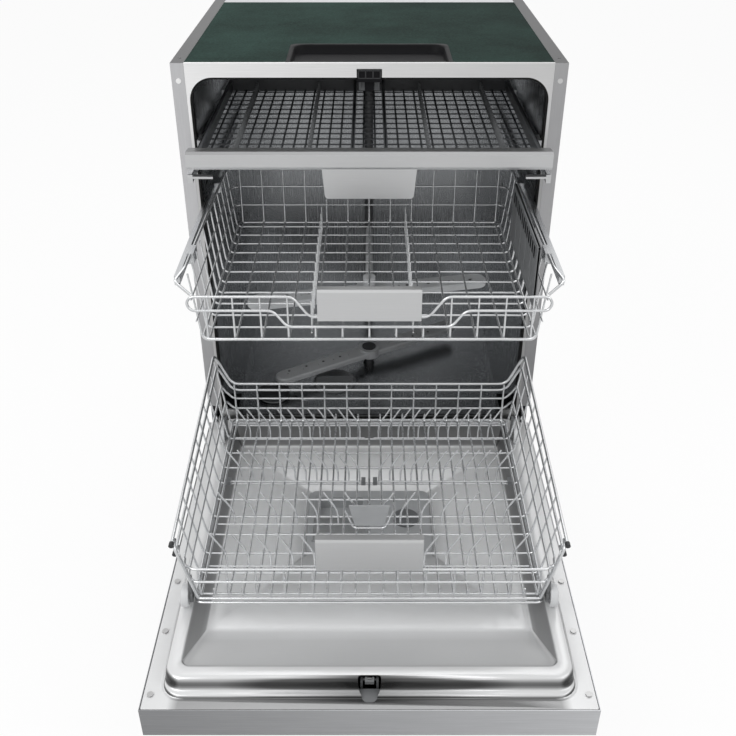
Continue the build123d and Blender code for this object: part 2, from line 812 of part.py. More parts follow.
def make_door_inner_panel():
    """Pressed steel inner door: flange, raised plug that enters the tub's mouth, and sunk middle."""
    sheet = tub_sheet
    flange = hinge_height
    draft = 3
    plug_front, plug_rear = hinge_y - plug_end, hinge_y - plug_start
    crest_front = plug_front + plug_front_slope
    recess_front, recess_rear = crest_front + plug_crest, plug_rear - 24
    recess_half = plug_half - draft - plug_crest
    recess_corner_low, recess_corner_high = 12, 18
    floor = track - door_recess_depth
    floor_front, floor_rear = recess_front + recess_front_slope, recess_rear - 16
    floor_half_width = recess_half - recess_side_slope
    flange_half = door_half - panel_sheet - fit
    flange_y = (hinge_y - door_length + panel_sheet + fit, hinge_y - door_heel)
    notch_half, notch_length = 10.5, 22
    with BuildPart() as inner:
        block((-flange_half, flange_half), flange_y, (flange - sheet, flange))
        for shrink, mode in ((0, Mode.ADD), (sheet, Mode.SUBTRACT)):
            low_half, high_half = plug_half - shrink, plug_half - draft - shrink
            low_rear, high_rear = plug_rear - shrink, plug_rear - draft - shrink
            low = (low_half, plug_front + shrink, low_rear, flange - shrink, door_corner)
            high = (high_half, crest_front + shrink, high_rear, track - shrink, door_corner)
            pressed_block(low, high, mode)
        for grow, mode in ((sheet, Mode.ADD), (0, Mode.SUBTRACT)):
            low_half, high_half = floor_half_width + grow, recess_half + grow
            low_y, high_y = (floor_front - grow, floor_rear + grow), (recess_front - grow, recess_rear + grow)
            low = (low_half, *low_y, floor - grow, recess_corner_low + grow)
            high = (high_half, *high_y, track, recess_corner_high + grow)
            pressed_block(low, high, mode)
        cut_half, cut_length = dispenser_width / 2 - 8, dispenser_length / 2 - 8
        cut_y = (dispenser_y - cut_length, dispenser_y + cut_length)
        block((-cut_half, cut_half), cut_y, (floor - 5, floor + 5), Mode.SUBTRACT)
        notch_y = (plug_front - 2, plug_front + notch_length)
        block((-notch_half, notch_half), notch_y, (flange + 3, track + 2), Mode.SUBTRACT)
        for x, y in door_screw_places():
            rod((x, y, flange - 3), (0, 0, 1), 5, screw_radius + 0.2, Mode.SUBTRACT)
    return inner


def door_screw_places():
    """Three screws down each side of the inner door's flange."""
    x = door_half - 11
    reach = (door_length - 24, door_length - 130, door_length - 225)
    return [(side * x, hinge_y - s) for side in (-1, 1) for s in reach]


def make_door_screws():
    """Pan-head screws that hold the inner door to the outer one."""
    length, head = 12.2, 2.2
    with BuildPart() as screws:
        for x, y in door_screw_places():
            rod((x, y, hinge_height + 0.1), (0, 0, 1), head, screw_head_radius)
            rod((x, y, hinge_height - 12), (0, 0, 1), length, screw_radius)
    return screws


def make_hinge_arms():
    """Steel arm in each side of the door, turning on the hinge pin, with a lever for the spring."""
    outer = half_width - hinge_inset
    x = (outer - hinge_plate, outer)
    bore = pivot_radius + running_gap
    eye_radius, arm_reach = 9, 180
    with BuildPart() as arms:
        rods((x[0], hinge_y, hinge_height), (1, 0, 0), hinge_plate, eye_radius)
        blocks(x, (hinge_y - arm_reach, hinge_y), (hinge_height - 14, hinge_height - 4))
        blocks(x, (hinge_y, hinge_y + lever_length), (hinge_height - 5, hinge_height + 5))
        rods((x[0] - 1, hinge_y, hinge_height), (1, 0, 0), hinge_plate + 2, bore, Mode.SUBTRACT)
    return arms


def make_dispenser_body():
    """Detergent and rinse-aid dispenser: flange in the inner door, box behind it, powder chamber, guides."""
    low = door_under + 6
    seat = dispenser_floor + 0.2
    flange, corner, floor = 10, 12, 4
    guide, guide_gap = 2, 0.5
    guide_y = (chamber_y[0] - chamber_length - 8, chamber_y[1] + 4)
    guide_x = (chamber_x[0] - lid_overlap - guide_gap - guide, chamber_x[1] + lid_overlap + guide_gap)
    middle = (0, dispenser_y)
    box_width, box_length = dispenser_width - 2 * flange, dispenser_length - 2 * flange
    with BuildPart() as body:
        rounded_block(middle, dispenser_width, dispenser_length, corner, seat, dispenser_top)
        rounded_block(middle, box_width, box_length, corner - 2, low, seat)
        block(chamber_x, chamber_y, (low + floor, dispenser_top + 1), Mode.SUBTRACT)
        for x in guide_x:
            block((x, x + guide), guide_y, (dispenser_top, dispenser_top + 2 * guide))
        rod((*rinse_place, dispenser_top - 4), (0, 0, 1), 5, rinse_hole_radius, Mode.SUBTRACT)
    return body


def make_detergent_lid():
    """Sliding lid, standing open in front of the powder chamber."""
    low = dispenser_top + 0.3
    thickness = 3
    length = chamber_length + 6
    y = chamber_y[0] - 3 - length
    rib_y, rib_z = (y + 4, y + 10), (low + thickness, low + 2 * thickness)
    lid_x = (chamber_x[0] - lid_overlap, chamber_x[1] + lid_overlap)
    with BuildPart() as lid:
        block(lid_x, (y, y + length), (low, low + thickness))
        block((chamber_x[0] + 20, chamber_x[1] - 20), rib_y, rib_z)
    return lid


def make_rinse_cap():
    """Round cap over the rinse-aid tank, with a bar to turn it by."""
    x, y = rinse_place
    low = dispenser_top + 0.3
    thickness = 3.5
    bar_half, bar_half_width = 15, 2.5
    bar_z = (low + thickness, low + 2 * thickness)
    with BuildPart() as cap:
        rod((x, y, low), (0, 0, 1), thickness, rinse_hole_radius + 4)
        rod((x, y, low - thickness), (0, 0, 1), thickness, rinse_hole_radius - fit)
        block((x - bar_half, x + bar_half), (y - bar_half_width, y + bar_half_width), bar_z)
    return cap


def make_control_unit():
    """Control housing inside the door's top, with the two cheeks that hold the latch."""
    front = hinge_y - door_length + panel_sheet + 3
    low = door_under + panel_sheet + 4
    half, depth, height = 200, 36, 22
    cheek_x = (9, 12)
    latch_y, latch_z = latch_place()
    with BuildPart() as unit:
        block((-half, half), (front, front + depth), (low, low + height))
        blocks(cheek_x, (latch_y - 6, latch_y + 6), (low + height - 2, latch_z + 4))
        bore = latch_pin_radius + running_gap
        rod((-cheek_x[1] - 1, latch_y, latch_z), (1, 0, 0), 2 * cheek_x[1] + 2, bore, Mode.SUBTRACT)
    return unit


def latch_place():
    """The latch's pivot, inside the plug behind its front notch."""
    return hinge_y - plug_end + 26, hinge_height + 6


def make_latch_catch():
    """Sprung catch in the door's notch that hooks the striker's tongue."""
    y, z = latch_place()
    with BuildPart() as catch:
        with BuildSketch(side_view(-6)) as outline:
            Polygon(
                (y - 4, z - 3),
                (y + 5, z - 4),
                (y + 5, z + 5),
                (y - 3, z + 8),
                (y - 8, z + 5),
                (y - 8, z),
            )
        extrude(outline.sketch, amount=12)
        rod((-12, y, z), (1, 0, 0), 24, latch_pin_radius)
    return catch


def button(place):
    """A round push button with a collar inside the panel and a proud cap outside it."""
    inside = door_under + panel_sheet + fit
    proud, collar = 1, 1.8
    outside = door_under - proud
    with BuildPart() as push:
        rod((*place, outside), (0, 0, 1), inside + collar - outside, button_radius)
        rod((*place, inside), (0, 0, 1), collar, button_radius + 2)
    return push


# Upper tray


def make_tray_front():
    """Wide grey bar across the tray's front, with the grip plate that hangs below its middle."""
    half = slide_rail_outer - 1.8
    low = tray_bar_top - tray_bar_height
    front = tray_front_edge
    rear = front + tray_bar_depth
    grip = handle_width / 2 - 2.5
    grip_taper, grip_corner, grip_thickness = 4, 6, 6
    grip_low = low - tray_handle_drop
    with BuildPart() as bar:
        with BuildSketch(side_view(-half)) as profile:
            Polygon(
                (front, low + 4),
                (front + 2, low),
                (rear, low),
                (rear, tray_bar_top - 3),
                (front + 5, tray_bar_top),
                (front, tray_bar_top - 3),
            )
        extrude(profile.sketch, amount=2 * half)
        with BuildSketch(front_view(front + 7)) as plate:
            Polygon(
                (-grip, low + 1),
                (-grip + grip_taper, grip_low),
                (grip - grip_taper, grip_low),
                (grip, low + 1),
            )
            fillet(plate.vertices().sort_by(Axis.Y)[:2], grip_corner)
        extrude(plate.sketch, amount=grip_thickness)
    return bar


def make_tray_basket():
    """Shallow tray at the top: walls, a slotted floor and a channel down the middle."""
    front = tray_front_edge + tray_bar_depth + fit
    z = (tray_bar_top - tray_depth, tray_bar_top - 4)
    floor = z[0] + tray_wall
    inner = tray_half - tray_wall
    inside_y = (front + tray_wall, tray_back - tray_wall)
    window_width, window_length, window_corner = 30, 32, 3
    channel_x = (24, 24 + tray_wall)
    rows = spread(front + 24, tray_back - 24, 44)
    columns = [side * x for side in (-1, 1) for x in spread(52, tray_half - 32, 42)]
    with BuildPart() as tray:
        block((-tray_half, tray_half), (front, tray_back), z)
        block((-inner, inner), inside_y, (floor, z[1]), Mode.SUBTRACT)
        with BuildSketch(Plane.XY.offset(z[0])) as windows:
            with Locations([(x, y) for x in columns for y in rows]):
                RectangleRounded(window_width, window_length, window_corner)
        extrude(windows.sketch, amount=tray_wall, mode=Mode.SUBTRACT)
        blocks(channel_x, inside_y, (floor, z[1] - 4))
    return tray


# Wire racks


def floor_grille(half, front, rear, height):
    """A rack's floor: wires front to rear on top of wires from side to side."""
    along = [((x, front, height), (x, rear, height)) for x in spread_from_middle(half - 8, wire_pitch)]
    reach = half + 2
    under = height - wire_lap * wire
    across = [((-reach, y, under), (reach, y, under)) for y in spread(front + 6, rear - 6, cross_pitch)]
    return along + across


def upright_grille(half, y, inward, low, rows):
    """A rack's front or rear: level wires, and upright ones on their inner side."""
    level = [((-half, y, z), (half, y, z)) for z in rows]
    inner = y + inward * wire_lap * wire
    upright = [((x, inner, low), (x, inner, rows[-1])) for x in spread(-half + 10, half - 10, wire_pitch)]
    return level + upright


def side_grille(side, low_half, high_half, low, rims, y, shares):
    """A rack's leaning side: level wires, and uprights that run up to a rim that may slope."""

    def point(share, place):
        rim = rims[0] + (rims[1] - rims[0]) * (place - y[0]) / (y[1] - y[0])
        return (side * (low_half + (high_half - low_half) * share), place, low + (rim - low) * share)

    level = [(point(share, y[0]), point(share, y[1])) for share in shares]
    low_half, high_half = low_half - wire_lap * wire, high_half - wire_lap * wire
    upright = [(point(0, place), point(1, place)) for place in spread(y[0] + 8, y[1] - 8, wire_pitch)]
    return level + upright


def make_basket_floor(half, front, rear, height):
    """The floor of a wire rack."""
    with BuildPart() as floor:
        weld(floor_grille(half, front, rear, height), wire)
    return floor


def make_basket_sides(halves, ends, base, front_rows, rear_rows, rims):
    """The four grilles round a wire rack, each welded to the floor grille below it."""
    half, rim_half = halves
    front, rear = ends
    side_y = (front + 4, rear - 4)
    with BuildPart() as sides:
        for side in (-1, 1):
            weld(side_grille(side, half + 2, rim_half, base, rims, side_y, (0, 0.34, 0.67, 1)), wire)
        weld(upright_grille(half - 2.5, front, 1, base, front_rows), wire)
        weld(upright_grille(half - 2.5, rear, -1, base, rear_rows), wire)
    return sides


def grip(base, height, front, arms_low):
    """A rack's grip: a folded plate across the front, on two arms that clip over the wires."""
    half = handle_width / 2
    top = base + height
    plate_rear = front + handle_sheet
    lip_depth, arm_inset, arm_half = 11, 16, 6
    with BuildPart() as handle:
        block((-half, half), (front, plate_rear), (base, top))
        block((-half, half), (front, front + lip_depth), (top - handle_sheet, top))
        for x in (-half + arm_inset, half - arm_inset):
            arm_x = (x - arm_half, x + arm_half)
            block(arm_x, (plate_rear, front + handle_reach), (arms_low, top - handle_sheet))
        top_edge = handle.edges().filter_by(Axis.X).group_by(Axis.Z)[-1].sort_by(Axis.Y)[0]
        fillet(top_edge, handle_sheet - 0.3)
    return handle


def tine(x, y, low, lean, foot=tine_foot, reach=tine_reach):
    """One tine: an upright foot and a tip that leans to one side."""
    knee = (x, y, low + foot)
    tip = (
        x + lean * reach * math.sin(math.radians(tine_lean)),
        y,
        low + foot + reach * math.cos(math.radians(tine_lean)),
    )
    return [((x, y, low), knee), (knee, tip)]


def tine_row(x_low, x_high, y, low, lean, pitch):
    """A row of tines on a rod from side to side, with more room at the end that they lean to."""
    wires = [((x_low, y, low), (x_high, y, low))]
    short, long = 8, 26
    first, last = (x_low + short, x_high - long) if lean > 0 else (x_low + long, x_high - short)
    for x in spread(first, last, pitch):
        wires += tine(x, y, low, lean)
    return wires


def fold_tines(lean):
    """A row of tines that folds down, on its own rod."""
    near, far = tine_ends
    x_low, x_high = (near, far) if lean > 0 else (-far, -near)
    with BuildPart() as tines:
        weld(tine_row(x_low, x_high, fold_row_y, fold_rod_height, lean, tine_pitch), tine_wire)
    return tines


def make_lower_fixed_tines():
    """The rows of tines that don't fold, welded to the floor grille."""
    near, far = tine_ends
    low = lower_base + wire + tine_wire - 0.6
    with BuildPart() as tines:
        for place in fixed_row_places:
            pitch = tine_pitch if place > fold_row_place else 1.7 * tine_pitch
            for x_low, x_high, lean in ((-far, -near, -1), (near, far, 1)):
                weld(tine_row(x_low, x_high, lower_front + place, low, lean, pitch), tine_wire)
    return tines


def make_middle_tines():
    """Two rows of short tines that run to the rear along the middle rack's floor."""
    low = middle_base - (wire_lap - 1) * wire + tine_wire - 0.6
    foot = low - 0.3
    rod_inset, tine_inset = 30, 40
    with BuildPart() as tines:
        for x in middle_tine_rows:
            wires = [((x, middle_front + rod_inset, low), (x, middle_rear - rod_inset, low))]
            for y in spread(middle_front + tine_inset, middle_rear - tine_inset, middle_tine_pitch):
                wires.append(((x, y, foot), (x, y, low + middle_tine_height)))
            weld(wires, tine_wire)
    return tines


def make_lower_rack_clips():
    """Plastic clips on the lower rack: bores for the front axles, pins for the rear wheels, tine bearings."""
    plate = (lower_base_half + 3.5, lower_base_half + 7.5)
    width = plate[1] - plate[0]
    eye_radius, plate_half, plate_height = 10, 6, 34
    front_bore = axle_radius + running_gap
    near, far = tine_ends
    bearing, bearing_half = 7, 6
    bearing_z = (lower_base + wire + 0.2, fold_rod_height + 4)
    rod_bore = tine_wire + running_gap
    with BuildPart() as clips:
        for y in (lower_axle_y, rear_wheel_y):
            rods((plate[0], y, axle_height), (1, 0, 0), width, eye_radius)
            blocks(plate, (y - plate_half, y + plate_half), (axle_height, axle_height + plate_height))
        rods((plate[0] - 1, lower_axle_y, axle_height), (1, 0, 0), width + 2, front_bore, Mode.SUBTRACT)
        rods((plate[1], rear_wheel_y, axle_height), (1, 0, 0), wheel_outer - plate[1] + 1, axle_radius)
        rods((wheel_outer + 0.6, rear_wheel_y, axle_height), (1, 0, 0), 1, axle_radius + 2)
        for x in (near - 2, far - bearing):
            blocks((x, x + bearing), (fold_row_y - bearing_half, fold_row_y + bearing_half), bearing_z)
            rods((x - 1, fold_row_y, fold_rod_height), (1, 0, 0), bearing + 2, rod_bore, Mode.SUBTRACT)
    return clips


def make_lower_axle():
    """Short axle at each front corner of the lower rack, which runs along the door as it closes."""
    inner = lower_base_half + 4.5
    with BuildPart() as axle:
        rods((inner, lower_axle_y, axle_height), (1, 0, 0), wheel_outer + 1 - inner, axle_radius)
        rods((wheel_outer + 0.6, lower_axle_y, axle_height), (1, 0, 0), 1, axle_radius + 2)
    return axle


def wheel_pair(y):
    """A wheel on each side: rounded tread, bore for its axle and five round recesses."""
    inner = wheel_outer - wheel_width
    bore = axle_radius + 2 * running_gap
    ring, dimple_radius, dimple_depth = 9.5, 3, 3
    with BuildPart() as wheels:
        rods((inner, y, axle_height), (1, 0, 0), wheel_width, wheel_radius)
        circles = wheels.edges().filter_by(GeomType.CIRCLE)
        fillet(circles.filter_by(lambda edge: edge.radius > wheel_radius - 0.1), 1.5)
        rods((inner - 1, y, axle_height), (1, 0, 0), wheel_width + 2, bore, Mode.SUBTRACT)
        for i in range(5):
            turn = math.radians(72 * i)
            spot_y, spot_z = y + ring * math.cos(turn), axle_height + ring * math.sin(turn)
            start = (wheel_outer - dimple_depth, spot_y, spot_z)
            rods(start, (1, 0, 0), dimple_depth + 1, dimple_radius, Mode.SUBTRACT)
    return wheels


def make_middle_feed_tube():
    """Tube under the middle rack that takes water from the riser's port to the spray arm."""
    rear = pipe_y - pipe_radius - port_length - 1 - middle_travel
    start = middle_arm_y + 4
    pin_low = middle_arm_low - arm_collar - 2
    pin_top = middle_base - wire
    with BuildPart() as tube:
        rod((0, middle_arm_y, pin_low), (0, 0, 1), pin_top - pin_low, arm_pin)
        rod((0, middle_arm_y, pin_low - 1.5), (0, 0, 1), 2, arm_cap)
        rod((0, start, tube_height), (0, 1, 0), rear - start, tube_radius)
    return tube


def make_cup_shelf():
    """Slotted shelf on the right of the middle rack, folded up against its side."""
    y = (middle_front + 20, middle_front + 20 + shelf_length)
    z = (shelf_hinge_height - 4, shelf_hinge_height + shelf_height)
    slot_width, slot_height, slot_corner, slot_pitch = 8, 44, 3, 18
    slot_z = shelf_hinge_height + 52
    rod_radius = 3
    rod_start = (shelf_x + shelf_sheet / 2, y[0] - 4, shelf_hinge_height)
    with BuildPart() as shelf:
        block((shelf_x, shelf_x + shelf_sheet), y, z)
        with BuildSketch(side_view(shelf_x)) as slots:
            with Locations([(place, slot_z) for place in spread(y[0] + 16, y[1] - 16, slot_pitch)]):
                RectangleRounded(slot_width, slot_height, slot_corner)
        extrude(slots.sketch, amount=shelf_sheet, mode=Mode.SUBTRACT)
        rod(rod_start, (0, 1, 0), shelf_length + 8, rod_radius)
    return shelf


save(make_tub(), "tub")
save(make_front_frame(), "front_frame")
save(make_gasket(), "door_gasket")
save(make_side_panels(), "side_panels")
save(make_side_trims(), "side_trims")
save(make_top_sheet(), "top_sheet")
save(make_top_recess(), "top_recess")
save(make_rear_panel(), "rear_panel")
save(make_plinth(), "plinth")
save(make_feet(), "feet")
save(make_base_pan(), "base_pan")
save(make_hinge_brackets(), "hinge_brackets")
save(make_door_springs(), "door_springs")
save(make_sump(), "sump")
save(make_fine_filter(), "fine_filter")
save(make_filter_cup(), "filter_cup")
save(make_lower_spray_arm(), "lower_spray_arm")
save(make_feed_pipe(), "feed_pipe")
save(make_striker(), "striker")
save(make_circulation_pump(), "circulation_pump")
save(make_drain_pump(), "drain_pump")
save(make_inlet_valve(), "inlet_valve")
save(make_water_softener(), "water_softener")
save(make_salt_cap(), "salt_cap")
save(make_fixed_rails(), "fixed_rails")
save(slide_rails(middle_rail_height, middle_travel), "middle_slide_rails")
save(slide_rails(tray_rail_height, tray_travel), "tray_slide_rails")
middle_top = middle_base + middle_height
save(runners(middle_rail_height, middle_travel, middle_rim_half + 1, middle_top + 3), "middle_runners")
save(runners(tray_rail_height, tray_travel, tray_half, tray_bar_top - 6), "tray_runners")
save(make_door_outer_panel(), "door_outer_panel")
save(make_door_inner_panel(), "door_inner_panel")
save(make_door_screws(), "door_screws")
save(make_hinge_arms(), "hinge_arms")
save(make_dispenser_body(), "dispenser_body")
save(make_detergent_lid(), "detergent_lid")
save(make_rinse_cap(), "rinse_cap")
save(make_control_unit(), "control_unit")
save(make_latch_catch(), "latch_catch")
for place, name in zip(button_places(), ("button_power", "button_program", "button_start")):
    save(button(place), name)
save(make_tray_front(), "tray_front")
save(make_tray_basket(), "tray_basket")
save(make_basket_floor(middle_base_half, middle_front, middle_rear, middle_base), "middle_basket_floor")
middle_sides = make_basket_sides(
    (middle_base_half, middle_rim_half),
    (middle_front, middle_rear),
    middle_base,
    (middle_base, middle_base + 34, middle_base + 52, middle_base + middle_front_height),
    (middle_base, middle_base + 40, middle_base + 72, middle_top),
    (middle_top, middle_top),
)
save(middle_sides, "middle_basket_sides")
middle_grip = middle_base + middle_handle_rise
save(grip(middle_grip, middle_handle_height, middle_front - handle_reach, middle_grip), "middle_handle")
save(make_middle_tines(), "middle_tines")
save(make_cup_shelf(), "cup_shelf")
save(make_middle_feed_tube(), "middle_feed_tube")
middle_arm = spray_arm((0, middle_arm_y), middle_arm_length, middle_arm_low, middle_arm_turn)
save(middle_arm, "middle_spray_arm")
save(make_basket_floor(lower_base_half, lower_front, lower_rear, lower_base), "lower_basket_floor")
lower_sides = make_basket_sides(
    (lower_base_half, lower_rim_half),
    (lower_front, lower_rear),
    lower_base,
    (lower_base, lower_base + 32, lower_base + lower_front_height),
    (lower_base, lower_base + 39, lower_base + lower_rear_height),
    (lower_base + lower_rim_front_height, lower_base + lower_rim_rear_height),
)
save(lower_sides, "lower_basket_sides")
lower_grip = lower_base + lower_handle_rise
grip_arms = lower_base + lower_front_height - 26
save(grip(lower_grip, lower_handle_height, lower_front - handle_reach, grip_arms), "lower_handle")
save(fold_tines(-1), "lower_tines_left")
save(fold_tines(1), "lower_tines_right")
save(make_lower_fixed_tines(), "lower_fixed_tines")
save(make_lower_rack_clips(), "lower_rack_clips")
save(make_lower_axle(), "lower_axle")
save(wheel_pair(lower_axle_y), "front_wheels")
save(wheel_pair(rear_wheel_y), "rear_wheels")
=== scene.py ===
# %% [markdown]
# A dishwasher with its door down, drawn in cells.
# The shape and the joints come from a imported frame, and this lesson gives them their looks. Everything is
# in metres, X to the right, Y to the rear and Z up, so a piece goes where its numbers say and needs no
# fitting.

# %% Load the frame
import json
import math
import bmesh
import bpy
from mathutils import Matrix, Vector


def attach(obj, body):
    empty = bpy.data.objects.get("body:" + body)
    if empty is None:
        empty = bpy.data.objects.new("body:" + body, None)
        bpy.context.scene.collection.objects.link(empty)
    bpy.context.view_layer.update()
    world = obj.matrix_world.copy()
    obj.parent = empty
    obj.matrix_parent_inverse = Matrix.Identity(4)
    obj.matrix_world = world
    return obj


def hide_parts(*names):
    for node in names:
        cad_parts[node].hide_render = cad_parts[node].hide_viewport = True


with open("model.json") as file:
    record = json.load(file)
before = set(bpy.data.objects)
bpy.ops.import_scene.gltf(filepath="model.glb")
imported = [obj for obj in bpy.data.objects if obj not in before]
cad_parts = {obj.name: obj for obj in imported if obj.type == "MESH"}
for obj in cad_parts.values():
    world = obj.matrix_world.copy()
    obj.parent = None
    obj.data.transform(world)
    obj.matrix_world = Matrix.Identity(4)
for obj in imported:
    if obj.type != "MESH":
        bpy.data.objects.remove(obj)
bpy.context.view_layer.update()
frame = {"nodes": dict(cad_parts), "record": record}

scene = bpy.context.scene
nodes = frame["nodes"]
MM = 0.001

# %% [markdown]
# The camera comes first, so that every later step is judged in the final view.
# It stands in front of the open door, above the cabinet's top, and looks down by about 32 degrees.
# A lens is often given in millimetres on a 36 mm sensor: here the focal length was measured in pixels of a
# 736 pixel picture, so it is scaled by 36 / 736.

# %% Camera
FOCAL_PIXELS, PICTURE_PIXELS, SENSOR = 911, 736, 36
CAMERA_PLACE, LOOKING_DOWN = (-0.002, -1.395, 1.165), 32.4
camera_data = bpy.data.cameras.new("camera")
camera_data.sensor_width = SENSOR
camera_data.lens = FOCAL_PIXELS / PICTURE_PIXELS * SENSOR
camera = bpy.data.objects.new("camera", camera_data)
camera.location = CAMERA_PLACE
camera.rotation_euler = (math.radians(90 - LOOKING_DOWN), 0, 0)
scene.collection.objects.link(camera)
scene.camera = camera
print("lens", round(camera_data.lens, 2), "mm")

# %% [markdown]
# Materials are small graphs of nodes. A node's inputs are sockets, and each either holds a plain value or
# is linked to another node's output. One helper does whichever fits, so that the recipes below read like
# formulas.

# %% Nodes and their sockets
def new_material(name):
    """An empty material: itself, its graph and its main shader."""
    material = bpy.data.materials.new(name)
    material.use_nodes = True
    graph = material.node_tree
    return material, graph, graph.nodes["Principled BSDF"]


def feed(graph, socket, value):
    """Links the socket to another node's output, or sets it to a plain value."""
    if isinstance(value, bpy.types.NodeSocket):
        graph.links.new(value, socket)
    else:
        socket.default_value = value


def place(graph, kind, settings=None, **inputs):
    """A new node, with its inputs given by name."""
    made = graph.nodes.new(kind)
    for key, value in (settings or {}).items():
        setattr(made, key, value)
    for key, value in inputs.items():
        feed(graph, made.inputs[key.replace("_", " ")], value)
    return made


def combined(graph, operation, *values):
    """The result of a Math node. Its inputs share one name, so they are given in their order."""
    made = place(graph, "ShaderNodeMath", {"operation": operation})
    for socket, value in zip(made.inputs, values):
        feed(graph, socket, value)
    return made.outputs[0]


# %% [markdown]
# Patterns read the object coordinates: every piece here has its origin in the same place, so a pattern
# keeps its scale in metres and lies still when the camera moves. A noise runs from 0 to 1, and a colour or
# a roughness is what that range is turned into.

# %% Patterns
def pattern_space(graph, stretch=(1, 1, 1)):
    """Object coordinates, squeezed along an axis to turn round grains into brushed lines."""
    coordinates = graph.nodes.new("ShaderNodeTexCoord")
    squeezed = place(graph, "ShaderNodeMapping", Vector=coordinates.outputs["Object"], Scale=stretch)
    return squeezed.outputs["Vector"]


def noise(graph, space, scale, detail, rough=0.5):
    made = place(graph, "ShaderNodeTexNoise", Vector=space, Scale=scale, Detail=detail, Roughness=rough)
    return made.outputs["Fac"]


def mixed(graph, first, second, share):
    """Two patterns in one: share is the part of the second."""
    made = place(graph, "ShaderNodeMix", {"data_type": "FLOAT"}, Factor=share, A=first, B=second)
    return made.outputs["Result"]


def remapped(graph, value, start, end, low, high):
    """Turns the range from start to end into the range from low to high, and holds it at both ends."""
    made = place(
        graph, "ShaderNodeMapRange", Value=value, From_Min=start, From_Max=end, To_Min=low, To_Max=high
    )
    return made.outputs["Result"]


def tinted(graph, value, colour, change, spread=0.25):
    """The colour, darker and lighter where the pattern says. A smaller spread gives patches firmer edges."""
    ramp = graph.nodes.new("ShaderNodeValToRGB")
    for element, side in zip(ramp.color_ramp.elements, (-1, 1)):
        element.color = tuple(min(1, c * (1 + side * change)) for c in colour) + (1,)
        element.position = 0.5 + side * spread
    graph.links.new(value, ramp.inputs["Fac"])
    return ramp.outputs["Color"]


# %% [markdown]
# Sheet metal here gets painted light and shade, which stand for how the lamps fall on a face and what it
# would
# mirror: upward or steep faces are made to differ from the front ones, and a long part fades from one end to
# the other. Each tone is a short function that gives a factor, read from the surface's own direction or
# place, and a finish lists the ones that it needs. Painting them by hand would need a map for every piece,
# and these need none.

# %% Painted light and shade, and a black border, by direction and place
ABOVE_DOOR = (0.190, 0.200)
REAR_WALL = (0.40, 0.44)
MACHINE_HALF = 0.3


def axis_ramp(graph, output, axis, start, end, low, high):
    """A factor that runs from low to high while one axis of a direction or place runs from start to end."""
    coordinates = graph.nodes.new("ShaderNodeTexCoord")
    axes = place(graph, "ShaderNodeSeparateXYZ", Vector=coordinates.outputs[output])
    return remapped(graph, axes.outputs[axis], start, end, low, high)


def painted_shade_up(graph, factor):
    """Painted dark reflection: faces that look up are darker by the factor, but not those of the open door.
    """
    on_door = axis_ramp(graph, "Object", "Z", *ABOVE_DOOR, 1.0, 0.0)
    return combined(graph, "MAXIMUM", on_door, axis_ramp(graph, "Normal", "Z", 0.5, 0.9, 1.0, factor))


def painted_shade_steep(graph, factor):
    """Painted shade: faces that stand upright or steep are darker by the factor."""
    return axis_ramp(graph, "Normal", "Z", 0.35, 0.85, factor, 1.0)


def painted_shade_rear(graph, factor):
    """Painted shade: what stands near the tub's rear wall is darker by the factor."""
    return axis_ramp(graph, "Object", "Y", *REAR_WALL, 1.0, factor)


def painted_shade_low(graph, bottom, top, factor):
    """Painted shade: the factor holds below bottom and is gone at top, so the part is darker towards the
    bottom.
    """
    return axis_ramp(graph, "Object", "Z", bottom, top, factor, 1.0)


def painted_light_sides(graph, left, right):
    """Painted light and shade: a fade from the machine's left to its right."""
    return axis_ramp(graph, "Object", "X", -MACHINE_HALF, MACHINE_HALF, left, right)


def tone_border(graph, depth):
    """A black border from the cabinet's front to this depth."""
    return axis_ramp(graph, "Object", "Y", depth - 0.004, depth, 0.03, 1.0)


def toned(graph, colour, tones):
    """The colour times each tone: a tone is a tuple of its function and the function's values."""
    for tone, *values in tones:
        factor = tone(graph, *values)
        made = place(graph, "ShaderNodeVectorMath", {"operation": "SCALE"}, Vector=colour, Scale=factor)
        colour = made.outputs["Vector"]
    return colour


# %% [markdown]
# The inner door has painted light and shade of its own, which stand for what its bends would mirror of the
# dark above and before it: a darker flange before the raised plug, a dark line at the plug's foot, a lighter
# sunk middle, a darker upper edge of its slope, and darker round corners of the plug.
# All the places are those of the open door, where its pattern was drawn, and they stay on it when it
# closes.

# %% Painted light and shade of the inner door
HOLLOW_FLOOR = (0.149, 0.160)
SLOPE = (-0.580, -0.515)
STRIP, STRIP_ENDS = (-0.6400, -0.6280), (0.236, 0.262)
FOOT_LINE, PLUG = (-0.6276, -0.6264), (-0.6252, -0.6240)


def painted_shade_strip(graph, near, far, foot):
    """Painted shade and dark reflection on the flange before the plug: factors at its two edges, and of the
    line at the plug's foot.
    """
    inner, outer = STRIP_ENDS
    beyond = axis_ramp(graph, "Object", "Y", *PLUG, 0.0, 1.0)
    left = axis_ramp(graph, "Object", "X", -outer, -inner, 1.0, 0.0)
    right = axis_ramp(graph, "Object", "X", inner, outer, 0.0, 1.0)
    strip = axis_ramp(graph, "Object", "Y", *STRIP, near, far)
    line = axis_ramp(graph, "Object", "Y", *FOOT_LINE, 1.0, foot)
    outside = combined(graph, "MAXIMUM", beyond, combined(graph, "MAXIMUM", left, right))
    return combined(graph, "MAXIMUM", outside, combined(graph, "MULTIPLY", strip, line))


def painted_light_hollow(graph, factor):
    """Painted light: the floor of the sunk middle is lighter by the factor."""
    return axis_ramp(graph, "Object", "Z", *HOLLOW_FLOOR, factor, 1.0)


def painted_shade_slope(graph, factor):
    """Painted shade: the slope in front of the hollow darkens towards its upper edge, where the factor
    holds.
    """
    level = axis_ramp(graph, "Normal", "Y", 0.15, 0.30, 1.0, 0.0)
    return combined(graph, "MAXIMUM", level, axis_ramp(graph, "Object", "Y", *SLOPE, factor, 1.0))


